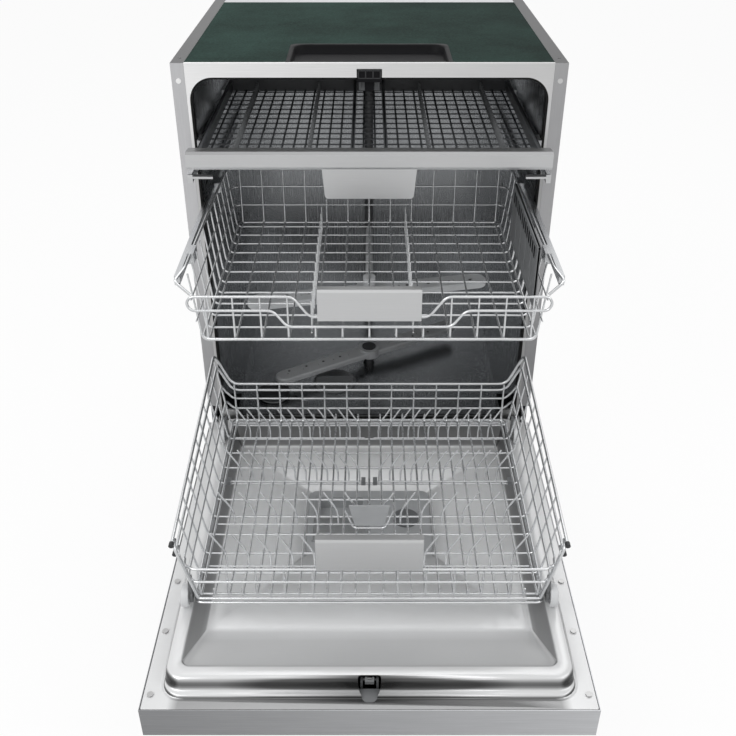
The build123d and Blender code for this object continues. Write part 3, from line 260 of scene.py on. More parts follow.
def painted_shade_corner(graph, factor):
    """Painted shade: upright faces that go round a corner, where a direction has a share of both X and Y,
    are darker by the factor.
    """
    coordinates = graph.nodes.new("ShaderNodeTexCoord")
    axes = place(graph, "ShaderNodeSeparateXYZ", Vector=coordinates.outputs["Normal"])
    product = combined(graph, "MULTIPLY", axes.outputs["X"], axes.outputs["Y"])
    return remapped(graph, combined(graph, "ABSOLUTE", product), 0.12, 0.30, 1.0, factor)


# %% [markdown]
# Most of this machine is stainless steel. Rolled and brushed sheet has fine lines in one direction, and a
# pressed sheet also has very shallow waves that bend its reflections.
# Both come from one recipe: a noise squeezed along one axis draws the lines, a wide soft noise draws waves
# and handling marks, and both feed the roughness and a small bump.

# %% Steel recipe
ALONG_X, ALONG_Y, ALONG_Z, NO_LINES = (0.02, 1, 1), (1, 0.02, 1), (1, 1, 0.02), (1, 1, 1)
CLOUD_SHARE, ROUGHNESS_SPREAD = 0.3, 0.08
finishes = {}


def dress(graph, shader, colour, roughness, bump):
    """The three sockets that every surface here sets."""
    relief = bump.outputs["Normal"]
    for name, value in (("Base Color", colour), ("Roughness", roughness), ("Normal", relief)):
        feed(graph, shader.inputs[name], value)


def steel(
    name, colour, roughness, lines=ALONG_X, line_size=900, line_bump=0.04, waves=0.0, change=0.05,
    metallic=1.0, tones=(),
):
    material, graph, shader = new_material(name)
    line = noise(graph, pattern_space(graph, lines), line_size, 3.0, 0.65)
    cloud = noise(graph, pattern_space(graph), 9.0, 3.0)
    marks = mixed(graph, line, cloud, CLOUD_SHARE)
    rough = remapped(graph, marks, 0, 1, roughness - ROUGHNESS_SPREAD, roughness + ROUGHNESS_SPREAD)
    bump = place(graph, "ShaderNodeBump", Strength=line_bump, Distance=0.0003, Height=line)
    if waves:
        wave = noise(graph, pattern_space(graph), 5.0, 1.0)
        lined = bump.outputs["Normal"]
        bump = place(graph, "ShaderNodeBump", Strength=waves, Distance=0.004, Height=wave, Normal=lined)
    dress(graph, shader, toned(graph, tinted(graph, line, colour, change), tones), rough, bump)
    shader.inputs["Metallic"].default_value = metallic
    finishes[name] = material


# %% [markdown]
# Moulded plastic and rubber differ from steel: no metal, a fine spark-eroded grain from the mould, and a
# slightly blotchy sheen. Coated wire is steel dipped in nylon, so it gets a soft coat over a grey body.

# %% Plastic, rubber and coated wire recipe
GRAIN_SIZE, BLOTCH_SIZE, BLOTCH_CHANGE, SHEEN_SPREAD = 2200, 26.0, 0.06, 0.06


def moulded(name, colour, roughness, grain=0.15, metallic=0.0, coat=0.0, specular=0.5, tones=()):
    material, graph, shader = new_material(name)
    fine = noise(graph, pattern_space(graph), GRAIN_SIZE, 2.0)
    blotch = noise(graph, pattern_space(graph), BLOTCH_SIZE, 4.0)
    rough = remapped(graph, blotch, 0, 1, roughness - SHEEN_SPREAD, roughness + SHEEN_SPREAD)
    bump = place(graph, "ShaderNodeBump", Strength=grain, Distance=0.0002, Height=fine)
    dress(graph, shader, toned(graph, tinted(graph, blotch, colour, BLOTCH_CHANGE), tones), rough, bump)
    shader.inputs["Metallic"].default_value = metallic
    shader.inputs["Coat Weight"].default_value = coat
    shader.inputs["Coat Roughness"].default_value = 0.25
    shader.inputs["Specular IOR Level"].default_value = specular
    finishes[name] = material


# %% [markdown]
# Galvanised sheet shows its zinc as flat crystals of a few millimetres, each a slightly different grey. A
# Voronoi texture gives the crystals, one grey for each cell, and a wide noise adds the cloudy marks of
# handling.

# %% Galvanised sheet
def galvanised(name, colour):
    material, graph, shader = new_material(name)
    space = pattern_space(graph)
    crystals = place(graph, "ShaderNodeTexVoronoi", Vector=space, Scale=260.0)
    grey = place(graph, "ShaderNodeSeparateColor", Color=crystals.outputs["Color"]).outputs[0]
    both = mixed(graph, grey, noise(graph, space, 4.0, 5.0), 0.55)
    relief = crystals.outputs["Distance"]
    bump = place(graph, "ShaderNodeBump", Strength=0.03, Distance=0.0002, Height=relief)
    dress(graph, shader, tinted(graph, both, colour, 0.05), remapped(graph, both, 0, 1, 0.36, 0.50), bump)
    shader.inputs["Metallic"].default_value = 0.85
    finishes[name] = material


# %% [markdown]
# The cover on the top is a dark, green-grey mat of pressed fibre. It is dull, cloudy in large soft patches,
# and rough to the touch, so it needs a wide and a fine noise and hardly any gloss.

# %% Dark fibre cover
def fibre_cover(name, colour):
    material, graph, shader = new_material(name)
    space = pattern_space(graph)
    patches = noise(graph, space, 7.0, 6.0, 0.6)
    fleck = noise(graph, space, 240.0, 5.0, 0.7)
    mottled = tinted(graph, mixed(graph, patches, fleck, 0.45), colour, 0.42, 0.11)
    bump = place(graph, "ShaderNodeBump", Strength=0.5, Distance=0.0008, Height=fleck)
    # Painted light and shade: the cover fades from light at the left to dark at the right.
    dress(graph, shader, toned(graph, mottled, ((painted_light_sides, 1.12, 0.72),)), 0.92, bump)
    shader.inputs["Specular IOR Level"].default_value = 0.12
    finishes[name] = material


# %% [markdown]
# One finish for each slot of the record. The greys are plain values chosen to look right under even light:
# the frame is the brightest steel, the door's edge is darker and brushed, and the grips are satin grey.
# The inner door is only partly metallic, which stands for the pale surroundings that a real one mirrors.

# %% Finishes of sheet metal
steel("tub_steel", (0.40, 0.41, 0.42), 0.26, ALONG_Z, waves=0.20, tones=((tone_border, 0.055),))
# Painted shade makes the frame darker low down, and painted light and shade fade it from the left to the
# right.
frame_light_and_shade = ((painted_shade_low, 0.66, 0.74, 0.55), (painted_light_sides, 1.19, 0.79))
steel("frame_steel", (0.83, 0.83, 0.83), 0.34, tones=frame_light_and_shade)
# Painted light and shade fade the door's edge from dark at the left to light at the right.
door_light_and_shade = ((painted_light_sides, 0.70, 1.40),)
steel("door_steel", (0.375, 0.38, 0.39), 0.40, line_bump=0.08, change=0.09, tones=door_light_and_shade)
# The inner door's colour carries painted light, painted shade and painted reflection from the tones above.
inner_door_light_and_shade = (
    (painted_shade_steep, 0.15), (painted_light_hollow, 1.30), (painted_shade_strip, 0.48, 0.46, 0.42), (painted_shade_slope, 0.80),
    (painted_shade_corner, 0.22), (painted_light_sides, 0.98, 0.87),
)
steel(
    "inner_door_steel", (0.77, 0.775, 0.78), 0.24, (0.03, 1, 1), line_bump=0.008, waves=0.06, change=0.015,
    metallic=0.24, tones=inner_door_light_and_shade,
)
# Painted dark reflection on the trims' tops, painted shade low down, and a painted fade from the left to the
# right.
trim_light_and_shade = ((painted_shade_up, 0.18), (painted_shade_low, 0.34, 0.56, 0.74), (painted_light_sides, 1.1, 0.78))
steel("trim_grey", (0.52, 0.52, 0.53), 0.42, ALONG_Z, change=0.06, tones=trim_light_and_shade)
steel("rail_steel", (0.55, 0.56, 0.57), 0.28, ALONG_Y)
# Painted dark reflection: the grips' top faces are darker.
steel("grip_grey", (0.59, 0.595, 0.60), 0.36, change=0.03, tones=((painted_shade_up, 0.50),))
steel("screw_steel", (0.42, 0.42, 0.42), 0.30, NO_LINES, line_size=1500)
galvanised("zinc_sheet", (0.54, 0.55, 0.56))
fibre_cover("top_green", (0.018, 0.037, 0.031))
print("finishes of sheet", len(finishes))

# %% [markdown]
# The plastics differ mostly in how dark and how dull they are, and rubber reflects hardly at all. With all
# the finishes made, each node of the frame takes the one that the record names for it.

# %% Finishes of plastic and wire
moulded("rack_wire", (0.66, 0.67, 0.68), 0.24, 0.05, metallic=0.85, coat=0.4)
moulded("tray_grey", (0.055, 0.058, 0.062), 0.42, 0.2)
# Painted shade: light plastic near the tub's rear wall is darker.
moulded("light_plastic", (0.40, 0.41, 0.42), 0.42, 0.2, tones=((painted_shade_rear, 0.30),))
moulded("dark_plastic", (0.022, 0.023, 0.025), 0.42, 0.25)
moulded("black_plastic", (0.006, 0.006, 0.007), 0.55, 0.25, specular=0.10)
moulded("clip_grey", (0.14, 0.145, 0.15), 0.45, 0.2)
moulded("seal_rubber", (0.006, 0.006, 0.006), 0.62, 0.1, specular=0.2)
moulded("white_nylon", (0.66, 0.67, 0.68), 0.40)
slot_of = {row["node"]: row["material_slot"] for row in frame["record"]["subparts"]}
for name, item in nodes.items():
    item.data.materials.clear()
    item.data.materials.append(finishes[slot_of[name]])
print("finishes", len(finishes), "for", len(nodes), "nodes")

# %% [markdown]
# Real sheet and mouldings have no perfectly sharp edges, and a thin line of light along each edge is much
# of what makes a machine look solid. A bevel modifier rounds the frame's edges without touching its meshes.

# %% Soften the edges of the frame's pieces
def soften(item, width, segments=2):
    bevel = item.modifiers.new("soft edge", "BEVEL")
    bevel.width = width
    bevel.segments = segments
    bevel.limit_method = "ANGLE"
    bevel.angle_limit = math.radians(38)
    bevel.harden_normals = True
    bevel.use_clamp_overlap = True


SOFT = {
    "front_frame": 0.4, "side_trims": 0.4, "door_outer_panel": 0.8, "tray_front": 1.2, "striker": 0.6,
    "plinth": 0.8, "middle_slide_rails": 0.35, "tray_slide_rails": 0.35, "fixed_rails": 0.35,
    "middle_runners": 0.4, "tray_runners": 0.4, "dispenser_body": 0.8, "detergent_lid": 0.6,
    "lower_rack_clips": 0.5, "hinge_arms": 0.4, "rear_panel": 0.4, "side_panels": 0.4,
}
for name, width in SOFT.items():
    soften(nodes[name], width * MM)
print("softened", len(SOFT))

# %% [markdown]
# The wire racks are the heart of the picture. A rack is steel wire of about 4 mm, cut, bent and welded,
# then coated. Bent wire never has a sharp corner, so a helper rounds each corner of a run with a small arc.

# %% Bent wire
CORNER_STEPS = 5


def rounded(points, radius):
    """The run through the points, in millimetres, with each inner corner replaced by an arc."""
    corners = [Vector(p) for p in points]
    line = [corners[0]]
    for before, corner, after in zip(corners, corners[1:], corners[2:]):
        back, ahead = before - corner, after - corner
        reach = min(radius, back.length * 0.48, ahead.length * 0.48)
        start = corner + back.normalized() * reach
        end = corner + ahead.normalized() * reach
        for i in range(CORNER_STEPS + 1):
            t = i / CORNER_STEPS
            line.append(start * (1 - t) ** 2 + corner * 2 * t * (1 - t) + end * t**2)
    line.append(corners[-1])
    return line


def run(points, thick=2.0, bend=9, closed=False):
    """One wire: its points in millimetres, its radius, the radius of its bends, and whether it is a ring."""
    return (points, thick, bend, closed)


def mirrored(points):
    return [(-x, y, z) for x, y, z in points]


def across(right):
    """A wire that begins on the right and goes on in the same way to the left."""
    return right + mirrored(right)[::-1]


def both_sides(points, *settings):
    """Two equal wires, one on the right and one on the left."""
    return [run(points, *settings), run(mirrored(points), *settings)]


def spaced(low, high, pitch):
    """Even steps of about one pitch from low to high."""
    steps = max(1, round((high - low) / pitch))
    return [low + (high - low) * i / steps for i in range(steps + 1)]


# %% [markdown]
# A curve with a round bevel gives a wire its thickness, and costs far less to write than tubes made of
# faces. A curve object can hold many runs, so a whole rack is one piece. The radius shrinks a little at the
# ends, as the coating does over a cut end.

# %% Welded wire
THIN_WIRE, THIN_END, THICK_END = 2.2, 0.75, 0.95
SAME_PLACE = 1e-4


def wire_piece(name, runs, slot, body, replaced=()):
    """One piece of welded wire, made of runs."""
    data = bpy.data.curves.new(name, "CURVE")
    data.dimensions = "3D"
    data.bevel_depth = MM
    data.bevel_resolution = 3
    data.use_fill_caps = True
    for points, thick, bend, closed in runs:
        if closed:
            line = rounded(list(points) + list(points[:2]), bend)[1:-1]
            line = line[:-1] if (line[0] - line[-1]).length < SAME_PLACE else line
        else:
            line = rounded(points, bend)
        spline = data.splines.new("POLY")
        spline.points.add(len(line) - 1)
        spline.use_cyclic_u = closed
        for spot, point in zip(spline.points, line):
            spot.co = (*(point * MM), 1)
            spot.radius = thick
        if not closed:
            end = THIN_END if thick < THIN_WIRE else THICK_END
            spline.points[0].radius = spline.points[-1].radius = thick * end
    piece = bpy.data.objects.new(name, data)
    scene.collection.objects.link(piece)
    data.materials.append(finishes[slot])
    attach(piece, body)
    if replaced:
        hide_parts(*replaced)
    print(name, len(runs), "wires")


# %% [markdown]
# The lower rack. Its sides lean out to a rim that rises to the rear. Of the four wires of a side, the two
# upper ones end at the front corner, and the two lower ones run on across the front, which stays low.
# One function says where a side's wire is at any depth, so all the wires of a side follow it.

# %% Lower rack's sides
FRONT, REAR, BASE = -487.0, -57.0, 205.0
HALF, RIM = 245.0, 267.0
RIM_HEIGHT, RIM_RISE = 303, 42
FRONT_TOP, REAR_TOP = 261, 283


def lower_rim(y, share=1.0):
    """Where a side's wire is at y: share 1 is the rim and share 0 the floor."""
    height = RIM_HEIGHT + RIM_RISE * (y - FRONT) / (REAR - FRONT)
    return HALF + 2 + (RIM - HALF - 2) * share, BASE + (height - BASE) * share


lower_runs = []
for share, thick, rear_z in ((1.0, 2.5, REAR_TOP), (0.84, 2.3, 270)):
    end_x, end_z = lower_rim(FRONT + 2, share)
    x, z = lower_rim(REAR - 7, share)
    right = [(end_x + 1, FRONT + 2, end_z), (x, REAR - 7, z), (x - 4, REAR, z - 12)]
    right.append((HALF - 4, REAR, rear_z))
    lower_runs.append(run(across(right), thick, 14))
for share, front_z, rear_z in ((0.57, FRONT_TOP, 252), (0.33, 237, 231)):
    x, z = lower_rim(FRONT + 16, share)
    right = [(HALF - 12, FRONT, front_z), (HALF - 3, FRONT, front_z), (x - 2, FRONT + 9, front_z)]
    right.append((x, FRONT + 20, z))
    x, z = lower_rim(REAR - 7, share)
    right += [(x, REAR - 7, z), (x - 4, REAR, (z + rear_z) / 2), (HALF - 4, REAR, rear_z)]
    lower_runs.append(run(across(right), 1.9, 7, True))
print("lower rack: rim from", lower_rim(FRONT), "to", lower_rim(REAR))

# %% [markdown]
# Two rings frame the floor. Ribs go from rim to rim under it, and other wires from front to rear on top of
# them: every other one goes all the way up the front and the rear. At each front corner three bent wires
# come down from the side to the floor, and dark caps cover the ends of the two upper wires.

# %% Lower rack's floor and corners
RIB_PITCH, FLOOR_PITCH = 39.5, 38
HOOKS = ((2, 1.0, 2.2), (5, 0.84, 2.2), (8, 0.57, 2.0))
LONG_WIRES = ((8, FRONT_TOP, REAR_TOP, 1.8, 10), (27, BASE + 16, BASE + 16, 1.5, 8))
for height, thick, front_y in ((BASE, 2.0, FRONT), (BASE - 7, 2.2, FRONT - 1)):
    lower_runs.append(run(across([(HALF, front_y, height), (HALF, REAR, height)]), thick, 12, True))
for y in spaced(FRONT + 12, REAR - 12, RIB_PITCH):
    x, z = lower_rim(y)
    lower_runs.append(run(across([(x, y, z), (HALF + 2, y, BASE - 3.4)]), 1.8, 11))
for behind, share, thick in HOOKS:
    y = FRONT + behind
    x, z = lower_rim(y, share)
    hook = [(x - 1, y + 16, z - 3), (x - 2, y, z - 2), (x - 7, y - 3, z - 16), (HALF - 4, y - 2, BASE + 2)]
    lower_runs += both_sides(hook, thick)
for edge, front_top, rear_top, thick, bend in LONG_WIRES:
    for x in spaced(-HALF + edge, HALF - edge, FLOOR_PITCH):
        wire = [(x, FRONT + 3, front_top), (x, FRONT + 3, BASE), (x, REAR - 3, BASE)]
        wire.append((x, REAR - 3, rear_top))
        lower_runs.append(run(wire, thick, bend))
lower_baskets = ("lower_basket_floor", "lower_basket_sides")
wire_piece("lower_rack_wires", lower_runs, "rack_wire", "lower_rack", lower_baskets)

cap_runs = []
for share, thick in ((1.0, 3.9), (0.84, 3.7)):
    x, z = lower_rim(FRONT + 2, share)
    cap_runs += both_sides([(x + 1, FRONT + 0.5, z), (x + 1, FRONT + 7, z + 0.4)], thick)
wire_piece("lower_rim_caps", cap_runs, "dark_plastic", "lower_rack")

# %% [markdown]
# Tines stand in rows across the floor. Each is one bent wire: it stands up from a rod, then leans to one
# side. The pair of rows in the middle sits on rods that turn in clips, so those rows ride on bodies of
# their own and fold down. The left half of the rack mirrors the right one.

# %% Tines of the lower rack
NEAR, FAR, PITCH = 8, HALF - 12, 17.5
TINE_WIRE, TINE_BEND, TINE_FOOT, TINE_REACH, TINE_LEAN = 1.6, 12, 27, 42, math.radians(30)
FLOOR_TOP = BASE + 2


def tine_row(y, low, side, pitch=PITCH):
    """A rod across one half of the rack with its tines. Side is 1 on the right and -1 on the left."""
    knee = low + TINE_FOOT
    over, up = TINE_REACH * math.sin(TINE_LEAN), TINE_REACH * math.cos(TINE_LEAN)
    rows = [[(NEAR, y, low), (FAR, y, low)]]
    for x in spaced(NEAR + 8, FAR - 26, pitch):
        rows.append([(x, y, low), (x, y, knee), (x + over, y, knee + up)])
    return [run(points if side > 0 else mirrored(points), TINE_WIRE, TINE_BEND) for points in rows]


fixed_runs = []
for behind, pitch in ((60, PITCH * 1.7), (150, PITCH * 1.7), (372, PITCH)):
    for side in (-1, 1):
        fixed_runs += tine_row(FRONT + behind, FLOOR_TOP + TINE_WIRE - 0.6, side, pitch)
wire_piece("lower_fixed_tine_wires", fixed_runs, "rack_wire", "lower_rack", ("lower_fixed_tines",))

for side, word in ((-1, "left"), (1, "right")):
    fold_runs = tine_row(FRONT + 250, FLOOR_TOP + 2 * TINE_WIRE + 0.6, side)
    body = f"lower_tines_{word}"
    wire_piece(f"fold_tine_wires_{word}", fold_runs, "rack_wire", body, (body,))

# %% [markdown]
# The middle rack hangs on telescopic rails, so its sides are open at the bottom. Its front wires come in a
# pair joined by a bend at each corner, and they dip beside the grip so that a hand can reach under it.

# %% Middle rack
MID_FRONT, MID_REAR, MID_BASE = -275.0, 155.0, 497.0
MID_HALF, MID_RIM, MID_TOP = 238.0, 252.0, 600.0
PAIR_HIGH, PAIR_LOW, DIP, DIP_HALF = 571, 549, 523, 112
MID_PITCH, MID_WIRE = 38, 1.6


def middle_side(share):
    """Where a side's wire is: share 1 is the rim and share 0 the floor."""
    return MID_HALF + 2 + (MID_RIM - MID_HALF - 2) * share, MID_BASE + (MID_TOP - MID_BASE) * share


corner_x = MID_HALF + 12
pair = [(84, 539), (107, PAIR_HIGH), (corner_x, PAIR_HIGH), (corner_x + 6, 560), (corner_x, PAIR_LOW)]
pair += [(135, PAIR_LOW), (116, DIP)]
middle_runs = [run(across([(x, MID_FRONT, z) for x, z in pair]), closed=True)]
for z in (531, 566, MID_TOP):
    middle_runs.append(run([(-MID_HALF - 6, MID_REAR, z), (MID_HALF + 6, MID_REAR, z)], 1.8))
rim_start = [(MID_HALF + 11, MID_FRONT + 1, 574), (MID_RIM + 16, MID_FRONT - 3, 597)]
rim_start.append((MID_RIM + 6, MID_FRONT + 34, 601))
for share, thick in ((0.34, MID_WIRE), (0.67, MID_WIRE), (1.0, 2.2)):
    x, z = middle_side(share)
    start = rim_start if share == 1.0 else [(x, MID_FRONT, z)]
    middle_runs += both_sides(start + [(x, MID_REAR - 10, z), (x - 16, MID_REAR, z)], thick, 8)
middle_runs.append(run(across([(MID_HALF, MID_FRONT, 503), (MID_HALF, MID_REAR, MID_BASE)]), 2.0, 16, True))
for y in spaced(MID_FRONT + 14, MID_REAR - 12, MID_PITCH):
    x, z = middle_side(1.0)
    middle_runs.append(run(across([(x, y, z), (MID_HALF + 2, y, MID_BASE - 3.4)]), MID_WIRE, 10))
for x in spaced(-MID_HALF + 8, MID_HALF - 8, MID_PITCH):
    top = PAIR_HIGH if abs(x) > DIP_HALF else DIP
    wire = [(x, MID_FRONT + 3, top), (x, MID_FRONT + 3, 501), (x, MID_FRONT + 16, MID_BASE)]
    wire += [(x, MID_REAR - 3, MID_BASE), (x, MID_REAR - 3, MID_TOP)]
    middle_runs.append(run(wire, MID_WIRE, 10))
middle_baskets = ("middle_basket_floor", "middle_basket_sides")
wire_piece("middle_rack_wires", middle_runs, "rack_wire", "middle_rack", middle_baskets)

# %% [markdown]
# The middle rack's tines are short and straight, and their two rods run from front to rear on the floor's
# ribs. The rods aren't placed evenly, so the fields beside them differ in width.

# %% Tines of the middle rack
MID_ROD, MID_TINE_TOP = 496.6, 544
middle_tine_runs = []
for x in (-84, 64):
    middle_tine_runs.append(run([(x, MID_FRONT + 30, MID_ROD), (x, MID_REAR - 30, MID_ROD)], MID_WIRE))
    for y in spaced(MID_FRONT + 40, MID_REAR - 40, 32):
        middle_tine_runs.append(run([(x, y, MID_ROD), (x, y, MID_TINE_TOP)], MID_WIRE))
wire_piece("middle_tine_wires", middle_tine_runs, "rack_wire", "middle_rack", ("middle_tines",))

# %% [markdown]
# Now the pieces that aren't wire. Three helpers are enough for most of them: one turns lists of corners and
# faces into a piece, one joins a row of equal loops into a skin, as a press or a mould would form it, and
# one closes the space between two equal outlines.

# %% Mesh helpers
def mesh_of(name, corners, faces):
    """A mesh in metres from corners in millimetres."""
    data = bpy.data.meshes.new(name)
    data.from_pydata([tuple(c * MM for c in corner) for corner in corners], [], faces)
    return data


def mesh_piece(name, corners, faces, slot, body, replaced=(), smooth=True, finish=None):
    data = mesh_of(name, corners, faces)
    if smooth:
        data.shade_smooth()
    piece = bpy.data.objects.new(name, data)
    scene.collection.objects.link(piece)
    data.materials.append(finishes[finish or slot])
    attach(piece, body)
    if replaced:
        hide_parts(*replaced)
    print(name, len(corners), "corners")
    return piece


def joined_loops(loops, closed=True, ring=False):
    """Corners and faces of the skin through loops of as many points. In a ring, the last joins the first."""
    count = len(loops[0])
    corners = [point for loop in loops for point in loop]
    faces = []
    for level in range(len(loops) if ring else len(loops) - 1):
        here, ahead = level * count, (level + 1) % len(loops) * count
        for i in range(count if closed else count - 1):
            beside = (i + 1) % count
            faces.append((here + i, here + beside, ahead + beside, ahead + i))
    return corners, faces


def prism(near, far):
    """Corners and faces of the solid between two outlines of as many points."""
    count = len(near)
    corners, faces = joined_loops([near, far])
    return corners, faces + [tuple(range(count))[::-1], tuple(range(count, 2 * count))]


def face_outwards(data):
    """Turns the faces of a closed mesh so that all of them look outwards."""
    work = bmesh.new()
    work.from_mesh(data)
    bmesh.ops.recalc_face_normals(work, faces=work.faces)
    work.to_mesh(data)
    work.free()


# %% [markdown]
# The inner door is one sheet pressed in a die: a flat flange, a raised plug whose edge is rolled over, and
# a sunk middle with sloping sides. A subdivided cage would need many corrections to hold these tight bends,
# so it is drawn as a row of rounded rectangles from the flange inwards, close together where the sheet
# bends.

# %% Inner door
FLANGE, CREST, SUNK, SHEET = 168.0, 188.0, 148.0, 0.9
ARC_STEPS = 8


def rounded_rectangle(half, low_y, high_y, corner, z):
    """A level loop of points round a rectangle whose corners are arcs."""
    points = []
    centres = (
        (half - corner, high_y - corner, 0), (-half + corner, high_y - corner, 90),
        (-half + corner, low_y + corner, 180), (half - corner, low_y + corner, 270),
    )
    for x, y, start in centres:
        for i in range(ARC_STEPS + 1):
            angle = math.radians(start + 90 * i / ARC_STEPS)
            points.append((x + corner * math.cos(angle), y + corner * math.sin(angle), z))
    return points


# Each row is half the width, the front and the rear edge, the radius of the corners, and the height.
press = [
    (295.0, -642.2, -13.0, 2, FLANGE),
    (294.4, -641.6, -13.6, 2, FLANGE),
    (276.5, -630.2, -19.6, 30, FLANGE),
    (275.5, -629.4, -20.0, 30, FLANGE),
    (273.4, -627.0, -21.6, 28, FLANGE - 0.8),
    (272.4, -625.4, -22.8, 27, FLANGE - 0.9),
    (271.8, -624.6, -23.4, 26, FLANGE + 0.4),
    (271.2, -623.6, -24.0, 26, FLANGE + 2.4),
    (271.0, -622.0, -24.4, 26, FLANGE + 3.1),
    (270.9, -620.2, -24.6, 26, FLANGE + 3.5),
    (270.8, -617.6, -24.8, 25, FLANGE + 4.0),
    (270.7, -615.8, -25.0, 25, FLANGE + 5.2),
    (270.5, -614.4, -25.2, 25, FLANGE + 7.4),
    (270.2, -613.2, -25.5, 25, FLANGE + 10.4),
    (269.8, -612.0, -25.9, 24, FLANGE + 13.6),
    (269.2, -610.6, -26.4, 24, CREST - 3.6),
    (268.2, -608.4, -27.2, 24, CREST - 1.5),
    (266.8, -606.2, -28.4, 23, CREST - 0.6),
    (265.2, -604.6, -29.6, 23, CREST - 0.2),
    (263.6, -602.6, -30.8, 22, CREST),
    (252.0, -591.4, -44.0, 15, CREST),
    (250.6, -590.0, -45.4, 13, CREST - 0.5),
    (249.6, -588.4, -46.6, 11, CREST - 1.8),
    (248.8, -585.0, -47.6, 10, CREST - 3.4),
    (247.9, -579.9, -48.5, 9, CREST - 5.4),
    (234.9, -505.1, -61.1, 4, SUNK + 4.4),
    (234.0, -500.0, -62.0, 4, SUNK + 2.4),
    (232.8, -496.0, -63.6, 4, SUNK + 0.7),
    (231.0, -492.0, -66.0, 4, SUNK),
    (228.5, -489.0, -68.5, 4, SUNK),
    (92.0, -332.0, -198.0, 6, SUNK),
]
skin = joined_loops([rounded_rectangle(*row) for row in press])
liner = mesh_piece("inner_door_skin", *skin, "inner_door_steel", "door", ("door_inner_panel",))
sheet = liner.modifiers.new("sheet", "SOLIDIFY")
sheet.thickness = SHEET * MM
sheet.offset = -1

# %% [markdown]
# The latch looks out of an opening in the plug's front edge. A Boolean modifier cuts it through the bent
# sheet, which would be tedious to draw by hand. The result is applied, so that no hidden cutter stays in
# the scene.

# %% Opening for the latch
OPENING_LOW, OPENING_HIGH = 150, 200
right = [(11.5, -604.5), (14.5, -606), (15.5, -609), (14, -616), (9, -627), (7, -630), (4.5, -631.5)]
outline = right + [(-x, y) for x, y in right[::-1]]
lower_edge, upper_edge = ([(x, y, z) for x, y in outline] for z in (OPENING_LOW, OPENING_HIGH))
cutter = bpy.data.objects.new("latch_opening", mesh_of("latch_opening", *prism(lower_edge, upper_edge)))
face_outwards(cutter.data)
scene.collection.objects.link(cutter)
opening = liner.modifiers.new("latch opening", "BOOLEAN")
opening.object = cutter
opening.operation = "DIFFERENCE"
opening.solver = "EXACT"
bpy.context.view_layer.update()
depsgraph = bpy.context.evaluated_depsgraph_get()
cut_mesh = bpy.data.meshes.new_from_object(liner.evaluated_get(depsgraph))
liner.modifiers.clear()
liner.data = cut_mesh
bpy.data.objects.remove(cutter)
print("inner door faces", len(liner.data.polygons))

# %% [markdown]
# The grips are aluminium-look plates with a lip folded back along the top. A side view of the fold, pushed
# along X, gives the body, and a bevel rounds it.

# %% Grips and folded plates
GRIP_HALF, LIP, LIP_DEPTH, PLATE = 72.5, 13, 3, 3.2


def solid_piece(name, near, far, slot, body, replaced=(), soft=0.0):
    """A solid between two outlines, with its edges rounded by soft millimetres."""
    piece = mesh_piece(name, *prism(near, far), slot, body, replaced, smooth=False)
    face_outwards(piece.data)
    if soft:
        soften(piece, soft * MM, 3)


def pushed(name, outline, half, slot, body, replaced=(), soft=1.0):
    """A piece with the same side view all along X: outline is a list of (y, z) in millimetres."""
    near, far = ([(x, y, z) for y, z in outline] for x in (-half, half))
    solid_piece(name, near, far, slot, body, replaced, soft)


def grip(name, front, low, high, body, replaced):
    fold = [(front, low), (front, high - 4), (front + 1.5, high), (front + LIP, high)]
    fold += [(front + LIP, high - LIP_DEPTH), (front + PLATE, high - LIP_DEPTH), (front + PLATE, low)]
    pushed(name, fold, GRIP_HALF, "grip_grey", body, replaced)


grip("lower_rack_grip", -500, 271, 326, "lower_rack", ("lower_handle",))
grip("middle_rack_grip", -288, 539, 588, "middle_rack", ("middle_handle",))

# %% [markdown]
# Straight bars are quick to write down by their ends, so one helper makes any number of them as a single
# piece.

# %% Straight bars
def bars(name, rows, slot, body, replaced=(), soft=0.5):
    """Square-edged bars in one piece: each row is (x low, x high, y low, y high, z low, z high)."""
    corners, faces = [], []
    for x_low, x_high, y_low, y_high, z_low, z_high in rows:
        n = len(corners)
        outline = ((x_low, y_low), (x_high, y_low), (x_high, y_high), (x_low, y_high))
        corners += [(x, y, z) for z in (z_low, z_high) for x, y in outline]
        faces += [(n + 3, n + 2, n + 1, n), (n + 4, n + 5, n + 6, n + 7)]
        faces += [(n + i, n + (i + 1) % 4, n + 4 + (i + 1) % 4, n + 4 + i) for i in range(4)]
    soften(mesh_piece(name, corners, faces, slot, body, replaced, smooth=False), soft * MM)


def bar_pair(low, high, *rest):
    """The same bar on the left and on the right: low and high are its X on the right."""
    return [(-high, -low, *rest), (low, high, *rest)]


# %% [markdown]
# The upper tray is a shallow moulding. Its floor is a lattice of narrow bars that lets the water through,
# its walls have a lip, and a channel with a thicker edge runs down the middle. Combs of a lighter grey
# stand on the floor in four rows, and are a piece of their own, because on the real tray they are clipped
# in.

